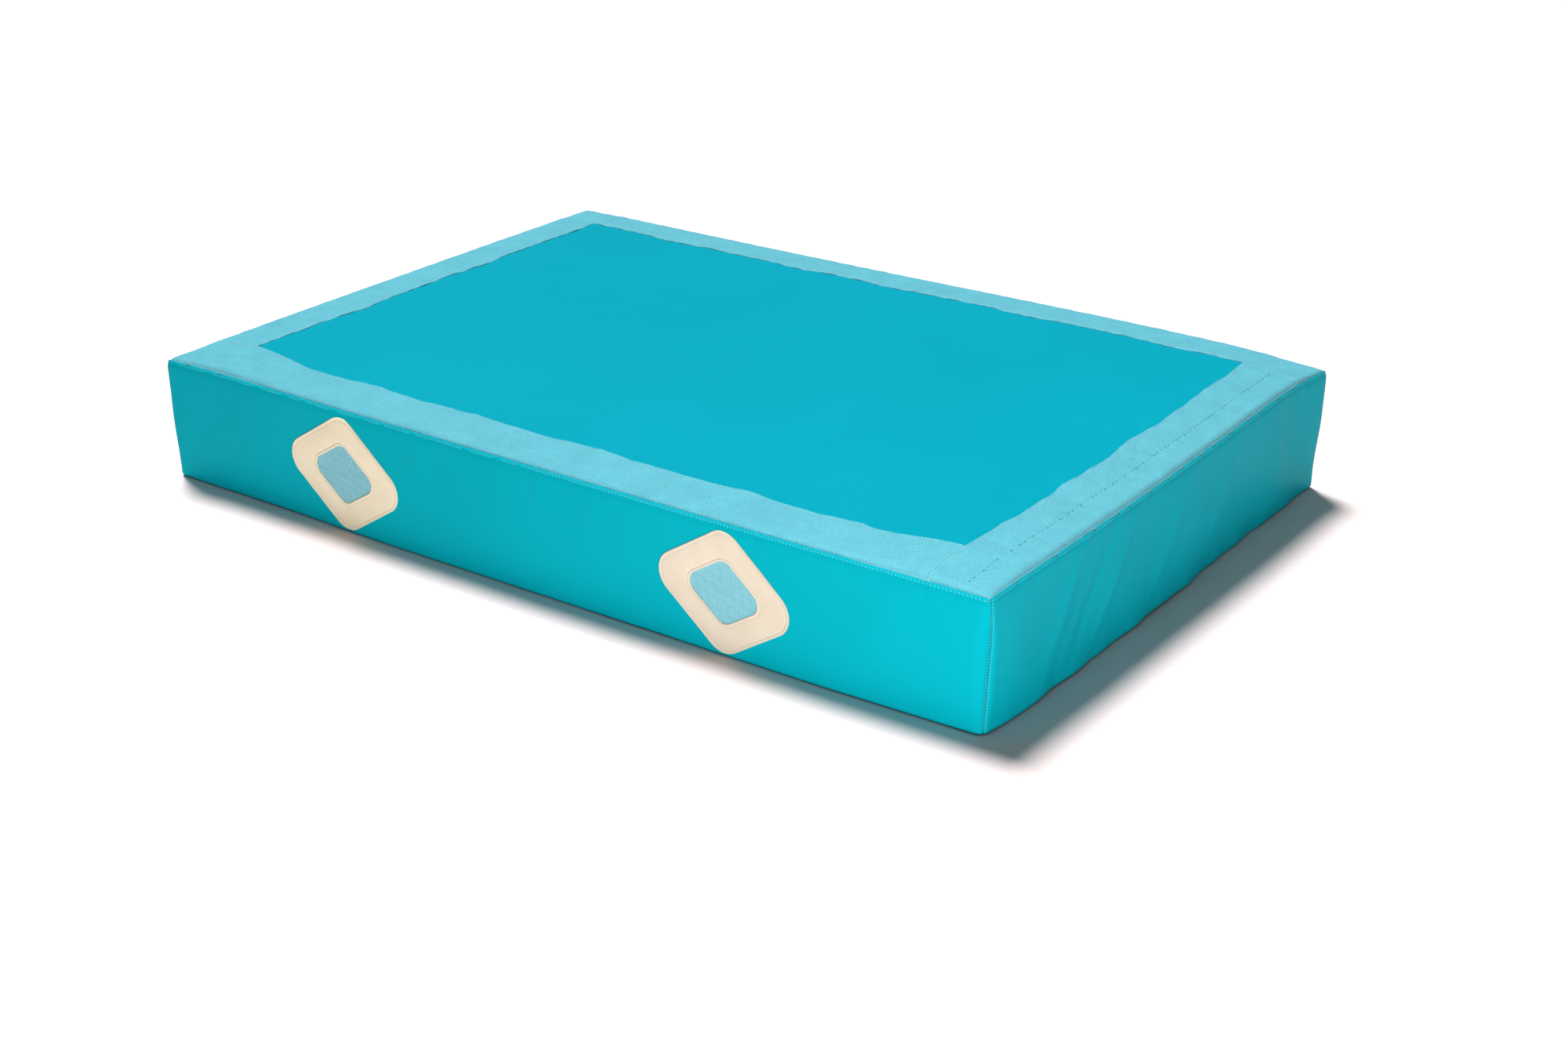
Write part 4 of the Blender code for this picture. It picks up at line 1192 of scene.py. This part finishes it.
def toothRow(name, node, upper):
    # moulded teeth in a row: a narrow neck at the tape and a wider rounded head towards the middle of the
    # chain, one outline thickened through the tape, repeated at the tooth pitch
    low, high = (np.array(c, float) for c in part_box(node))
    pitch = zipper["toothPitch"]
    count = int((high[0] - low[0]) / pitch)
    begin = float(low[0] + high[0]) / 2 - (count - 1) * pitch / 2
    half = zipper["toothWidth"] / 2
    tall = float(high[2] - low[2])
    reach = zipper["toothReach"]
    rightHalf = [(half, 0), (half * 0.62, tall * 0.40), (half * 1.0, tall * 0.66),
                 (half * 0.72, tall + reach * 0.4), (half * 0.2, tall + reach)]
    leftHalf = [(-x, z) for x, z in rightHalf[::-1]]
    outline = np.array([leftHalf[-1], *rightHalf, *leftHalf[:-1]])
    sign = -1 if upper else 1
    root = float(high[2]) if upper else float(low[2])
    y0, y1 = float(low[1]), float(high[1])
    shift = pitch / 2 if upper else 0.0
    place = begin + shift + np.arange(count - (1 if upper else 0)) * pitch
    n = len(outline)
    inset = 0.82
    layers = [(y0, inset), (y0 + 0.0004, 1.0), (y1 - 0.0004, 1.0), (y1, inset)]
    centreTall = tall * 0.5
    rings = []
    for y, scale in layers:
        rings.append(np.stack([outline[:, 0] * scale, np.full(n, y),
                               root + sign * (centreTall + (outline[:, 1] - centreTall) * scale)], axis=-1))
    rings = np.array(rings)
    template = rings.reshape(-1, 3)
    sideFaces = gridFaces(len(layers), n, False, True)
    capLow = np.arange(n)[None, :]
    capHigh = (np.arange(n) + 3 * n)[None, ::-1]
    if upper:  # the upper row is turned over, so its faces turn too
        sideFaces = sideFaces[:, ::-1]
        capLow = capLow[:, ::-1]
        capHigh = capHigh[:, ::-1]
    copies = template[None] + np.stack([place, 0 * place, 0 * place], axis=-1)[:, None, :]
    shiftBy = (np.arange(len(place)) * len(template))[:, None, None]
    faceSets = [(part[None] + shiftBy).reshape(-1, part.shape[1]) for part in (sideFaces, capLow, capHigh)]
    piece = meshFrom(name, copies.reshape(-1, 3), faceSets, zipPlastic)
    piece.data.polygons.foreach_set("use_smooth", np.zeros(len(piece.data.polygons), bool))
    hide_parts(node)
    return piece


toothRow("upper_zip_teeth", "zip_teeth_upper", True)
toothRow("lower_zip_teeth", "zip_teeth_lower", False)


def endCover(name, node):
    # a rounded oblong sewn over the end of the zip and on to the corner seam: rings from its edge to its
    # middle, laid on the wall and puffed up by the tape below
    low, high = (np.array(c, float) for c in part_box(node))
    side = math.copysign(1, low[0])
    inner = min(abs(low[0]), abs(high[0]))
    outer = backMiddle - float(seamAt("backRight", zipMiddle)) - 0.0036
    centre = (side * (inner + outer) / 2, float(low[2] + high[2]) / 2)
    radius = 0.006
    a = (outer - inner) / 2 - radius
    b = float(high[2] - low[2]) / 2 - radius
    core = [(a, -b), (a, b), (-a, b), (-a, -b)]
    base = 0.0003
    shape = [(0.0, 0.0), (0.0, 0.0007), (0.0005, 0.0011), (0.0015, 0.0012), (0.0028, 0.0008),
             (0.0036, 0.0009), (0.0050, 0.0013)]
    rings = []
    for inset, height in shape:
        plan = grownOutline(core, radius - inset, 7, 10)
        rings.append(backPoint(centre[0] + plan[:, 0], centre[1] + plan[:, 1], base + height))
    face = grownOutline(core, radius - 0.005, 7, 10)
    for share in (0.8, 0.55, 0.3, 0.0):
        plan = face * share
        puffed = base + 0.0019 - 0.0006 * share
        rings.append(backPoint(centre[0] + plan[:, 0], centre[1] + plan[:, 1], puffed))
    under = backPoint(centre[0] + 0 * face[:, 0], centre[1] + 0 * face[:, 1], base)
    rings = np.concatenate([under[None], np.array(rings)])
    piece = closedRings(name, rings, wallTurquoise, replaces=(node,))
    stitching = ringStitches(f"{name}_stitching", (-centre[0], centre[1]), core, radius - 0.0032, 0.0040,
                             0.0006, paleThread, lambda x, z: backPoint(-x, z, base + 0.0008),
                             "cover_fabric")
    return piece, stitching


endCovers = {side: endCover(f"{side}_zip_end_cover", f"zip_end_cover_{side}") for side in ("left", "right")}

zipRows = []
for level in (slotLow - 0.0030, slotHigh + 0.0030, slotLow - 0.0085, slotHigh + 0.0085):
    low, high = evenRow(-0.680, 0.680, sewing["zipPitch"])
    zipRows.append((np.stack([low, np.full_like(low, level)], axis=-1),
                    np.stack([high, np.full_like(high, level)], axis=-1)))
zipStarts, zipEnds = (np.concatenate(places) for places in zip(*zipRows))
zipStitching = stitchRow("zip_panel_stitching", lambda x, z: wallPoint(backMiddle + x, z), zipStarts, zipEnds,
                         sewing["thread"], paleThread)
print("zip made")


# Inside: foam blocks and the fire-resistant sleeve, which follow the sagged cover
foam = {
    "underCover": 0.0068,  # from the lying surface down to the bolsters
    "memoryUnderCover": 0.0050,
    "mitre": 0.0052,  # gap left at the mitred corners, along the long bolsters
    "slabInset": 0.001,
}


def foamTop(x, y, depth):  # height of the lying surface at a place, less what lies above the foam
    return topPoint(x, y)[..., 2] - depth


def foamBlock(name, corners, bottom, depth, material, node, step=0.02, flatTop=None):
    # a block over a four-cornered plan: rings of its rectangular section stacked along its length. Its
    # top keeps a depth below the lying surface, or stands level where flatTop is given
    edgeRow = 0.004  # width of the rows of faces along the block's long edges
    corners = np.array(corners, float)
    length = np.linalg.norm(corners[1] - corners[0])
    width = np.linalg.norm(corners[3] - corners[0])
    u = spaced(0, 1, step / length)
    u = np.concatenate([[0, 0], u, [1, 1]])
    shrink = np.ones(len(u))
    shrink[0] = shrink[-1] = 0.0
    v = spaced(0, 1, step / width)
    v = np.unique(np.concatenate([[0.0, edgeRow / width], v, [1 - edgeRow / width, 1.0]]))
    levels = np.array([0.0, 0.02, 0.5, 0.98, 1.0])
    section = [(b, 0.0) for b in v] + [(1.0, t) for t in levels[1:-1]] + [(b, 1.0) for b in v[::-1]]
    section += [(0.0, t) for t in levels[1:-1][::-1]]
    section = np.array(section)
    b = section[None, :, 0] * np.ones((len(u), 1))
    t = section[None, :, 1] * np.ones((len(u), 1))
    b = 0.5 + (b - 0.5) * shrink[:, None]
    t = 0.5 + (t - 0.5) * shrink[:, None]
    uu = u[:, None] * np.ones_like(b)
    near = corners[0] * (1 - uu[..., None]) + corners[1] * uu[..., None]
    far = corners[3] * (1 - uu[..., None]) + corners[2] * uu[..., None]
    plan = near * (1 - b[..., None]) + far * b[..., None]
    if flatTop is None:
        high = foamTop(plan[..., 0], plan[..., 1], depth)
    else:
        high = np.full_like(b, flatTop)
    z = bottom + (high - bottom) * t
    points = np.concatenate([plan, z[..., None]], axis=-1)
    piece = closedRings(name, points, material, replaces=(node,))
    return piece


bolsterLow, bolsterHigh = (np.array(c, float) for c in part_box("foam_bolster_front"))
sideLow, sideHigh = (np.array(c, float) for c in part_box("foam_bolster_right"))
bolsterBase = float(bolsterLow[2])
outX, outY = float(sideHigh[0]), float(-bolsterLow[1])
inX, inY = float(sideLow[0]), float(-bolsterHigh[1])
mitre = foam["mitre"]
bolsterPlans = {
    "front": [(-outX + mitre, -outY), (outX - mitre, -outY), (inX - 0.0004, -inY), (-inX + 0.0004, -inY)],
    "back": [(outX - mitre, outY), (-outX + mitre, outY), (-inX + 0.0004, inY), (inX - 0.0004, inY)],
    "right": [(outX, -outY + mitre), (outX, outY - mitre), (inX, inY - 0.0004), (inX, -inY + 0.0004)],
    "left": [(-outX, outY - mitre), (-outX, -outY + mitre), (-inX, -inY + 0.0004), (-inX, inY - 0.0004)],
}
for side, plan in bolsterPlans.items():
    foamBlock(f"{side}_foam_bolster", plan, bolsterBase, foam["underCover"], firmFoam,
              f"foam_bolster_{side}")
viscoLow, viscoHigh = (np.array(c, float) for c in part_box("visco_top_layer"))
vx, vy, vz = float(viscoHigh[0]), float(viscoHigh[1]), float(viscoLow[2])
foamBlock("memory_foam_layer", [(-vx, -vy), (vx, -vy), (vx, vy), (-vx, vy)], vz, foam["memoryUnderCover"],
          viscoFoam, "visco_top_layer")
slabLow, slabHigh = (np.array(c, float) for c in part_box("foam_base"))
sx, sy = float(slabHigh[0]) - foam["slabInset"], float(slabHigh[1]) - foam["slabInset"]
foamBlock("base_foam_slab", [(-sx, -sy), (sx, -sy), (sx, sy), (-sx, sy)], float(slabLow[2]), None, firmFoam,
          "foam_base", 0.04, float(slabHigh[2]))


sleeveShape = {
    "inset": 0.0066,  # from the outline of the cover in to the sleeve
    "floor": 0.0031,
    "roof": 0.0042,  # from the lying surface down to the sleeve
    "skin": 0.0007,
    "mouthHalf": 0.66,  # half the length of the opening behind the zip
    "mouthLow": 0.034,
    "mouthHigh": 0.062,
}


def sleevePoints():
    # a pillowcase round the foam: rings from the middle of its underside out to the edge, up the sides
    # and in over the top, which follows the lying surface
    s = spaced(0, perimeter, 0.012)[:-1]
    x, y, nx, ny = planAt(s, np.full_like(s, cornerRadius))
    plan = np.stack([x - nx * sleeveShape["inset"], y - ny * sleeveShape["inset"]], axis=-1)
    inwards = np.array([1.0, 0.75, 0.5, 0.25, 0.1, 0.03, 0.008])
    floor = sleeveShape["floor"]
    roof = sleeveShape["roof"]
    rings = [np.concatenate([plan * (1 - k), np.full((len(s), 1), floor)], axis=-1) for k in inwards]
    edge = plan * (1 - 0.006)
    rim = topPoint(edge[:, 0], edge[:, 1])[:, 2] - roof - 0.0012
    for share in (0.02, 0.10, 0.195, 0.255, 0.40, 0.6, 0.8, 0.94, 0.985):
        rings.append(np.concatenate([plan, (floor + (rim - floor) * share)[:, None]], axis=-1))
    for k in (0.006, 0.02, 0.05, 0.09, 0.12, 0.16, 0.22, 0.3, 0.4, 0.55, 0.7, 0.85, 1.0):
        inner = plan * (1 - k)
        top = topPoint(inner[:, 0], inner[:, 1])[:, 2] - roof
        rings.append(np.concatenate([inner, top[:, None]], axis=-1))
    return np.array(rings)


sleeve = sleevePoints()
sleeveFaces = gridFaces(*sleeve.shape[:2], False, True)
faceMiddle = sleeve.reshape(-1, 3)[sleeveFaces].mean(axis=1)
mouth = (faceMiddle[:, 1] > halfW - 0.008) & (np.abs(faceMiddle[:, 0]) < sleeveShape["mouthHalf"])
mouth &= (faceMiddle[:, 2] > sleeveShape["mouthLow"]) & (faceMiddle[:, 2] < sleeveShape["mouthHigh"])
sleeveSpots = sleeve.reshape(-1, 3)
liner = meshFrom("fire_resistant_sleeve", sleeveSpots, [sleeveFaces[~mouth]], linerKnit,
                 uv=sleeveSpots[:, :2] + sleeveSpots[:, 2:3], weld=1e-6)
linerWall = liner.modifiers.new("thickness", "SOLIDIFY")
linerWall.thickness = sleeveShape["skin"]
linerWall.offset = -1
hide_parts("fire_liner")
print("inside made")


# The front's stitch rows gathered in a list, which nothing reads; the loops below do nothing
frontExtras = [topEdgeStitching, cornerStitching]
for side in ventPieces:
    frontExtras += list(ventPieces[side][3:5])
for side, ((x0, x1), (y0, y1)) in bandPlans.items():
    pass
for side, (patch, net, shadeSheet, outerStitch, innerStitch, patchHalf, windowHalf) in ventPieces.items():
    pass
for side, (piece, stitching) in endCovers.items():
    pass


# Camera, light and floor
view = {
    "azimuth": 34.516,
    "elevation": 23.647,
    "roll": 0.708,
    "distance": 3.961,
    "across": -0.0603,
    "above": 0.1601,
    "aimHeight": 0.1,
    "lens": 55.305,
}


def placeCamera():
    a = math.radians(view["azimuth"])
    e = math.radians(view["elevation"])
    r = math.radians(view["roll"])
    back = Vector((math.sin(a) * math.cos(e), -math.cos(a) * math.cos(e), math.sin(e)))
    right = (-back).cross(Vector((0, 0, 1))).normalized()
    up = right.cross(-back)
    turnedRight = math.cos(r) * right + math.sin(r) * up
    turnedUp = math.cos(r) * up - math.sin(r) * right
    place = Vector((0, 0, view["aimHeight"])) - view["across"] * turnedRight - view["above"] * turnedUp
    place = place + view["distance"] * back
    camera = bpy.data.objects.new("camera", bpy.data.cameras.new("camera"))
    bpy.context.collection.objects.link(camera)
    rows = [(turnedRight[i], turnedUp[i], back[i], place[i]) for i in range(3)]
    camera.matrix_world = Matrix((*rows, (0, 0, 0, 1)))
    camera.data.lens = view["lens"]
    camera.data.sensor_width = 36
    bpy.context.scene.camera = camera


light = {
    "world": 0.14,
    "sunFrom": (-0.44, 0.25, 1.0),
    "sunStrength": 4.25,
    "sunAngle": 16.0,
    "softboxPlace": (1.62, -2.15, 0.55),
    "softboxAim": (0.55, -0.45, 0.10),
    "softboxSize": (1.7, 0.75),
    "softboxPower": 38.0,
}


def aimed(place, target):
    return (Vector(target) - Vector(place)).to_track_quat("-Z", "Y").to_euler()


def lightRoom():
    world = bpy.data.worlds.new("studio")
    bpy.context.scene.world = world
    world.use_nodes = True
    world.node_tree.nodes["Background"].inputs["Color"].default_value = (1.0, 1.0, 1.0, 1.0)
    world.node_tree.nodes["Background"].inputs["Strength"].default_value = light["world"]
    sun = bpy.data.lights.new("key", "SUN")
    sun.energy = light["sunStrength"]
    sun.angle = math.radians(light["sunAngle"])
    lamp = bpy.data.objects.new("key", sun)
    bpy.context.collection.objects.link(lamp)
    lamp.location = Vector(light["sunFrom"]) * 3
    lamp.rotation_euler = aimed(light["sunFrom"], (0, 0, 0))
    softbox = bpy.data.lights.new("softbox", "AREA")
    softbox.shape = "RECTANGLE"
    softbox.size, softbox.size_y = light["softboxSize"]
    softbox.energy = light["softboxPower"]
    box = bpy.data.objects.new("softbox", softbox)
    bpy.context.collection.objects.link(box)
    box.location = light["softboxPlace"]
    box.rotation_euler = aimed(light["softboxPlace"], light["softboxAim"])
    # the softbox lights the mattress alone, so that the shadow on the floor stays deep
    unlit = bpy.data.collections.new("unlit by the softbox")
    unlit.objects.link(floor)
    box.light_linking.receiver_collection = unlit
    unlit.collection_objects[0].light_linking.link_state = "EXCLUDE"
    bpy.context.scene.view_settings.view_transform = "Standard"


def makeFloor():
    size = 30.0
    corners = np.array([(-size, -size, 0), (size, -size, 0), (size, size, 0), (-size, size, 0)], float)
    mesh = bpy.data.meshes.new("floor")
    mesh.from_pydata(corners.tolist(), [], [(0, 1, 2, 3)])
    mesh.materials.append(floorPaint)
    floor = bpy.data.objects.new("floor", mesh)
    bpy.context.collection.objects.link(floor)
    return floor


placeCamera()
floor = makeFloor()
lightRoom()

# Finishes on the pieces that keep their shape
keptFinishes = {
    "zip_slider": zipMetal,
    "zip_pull": zipMetal,
    "zip_stop_closed": zipMetal,
    "zip_stop_open": zipMetal,
    "foam_castellated_core": cutFoam,
}
for nodeName, finish in keptFinishes.items():
    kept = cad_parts[nodeName]
    for materialSlot in kept.material_slots:
        materialSlot.material = finish
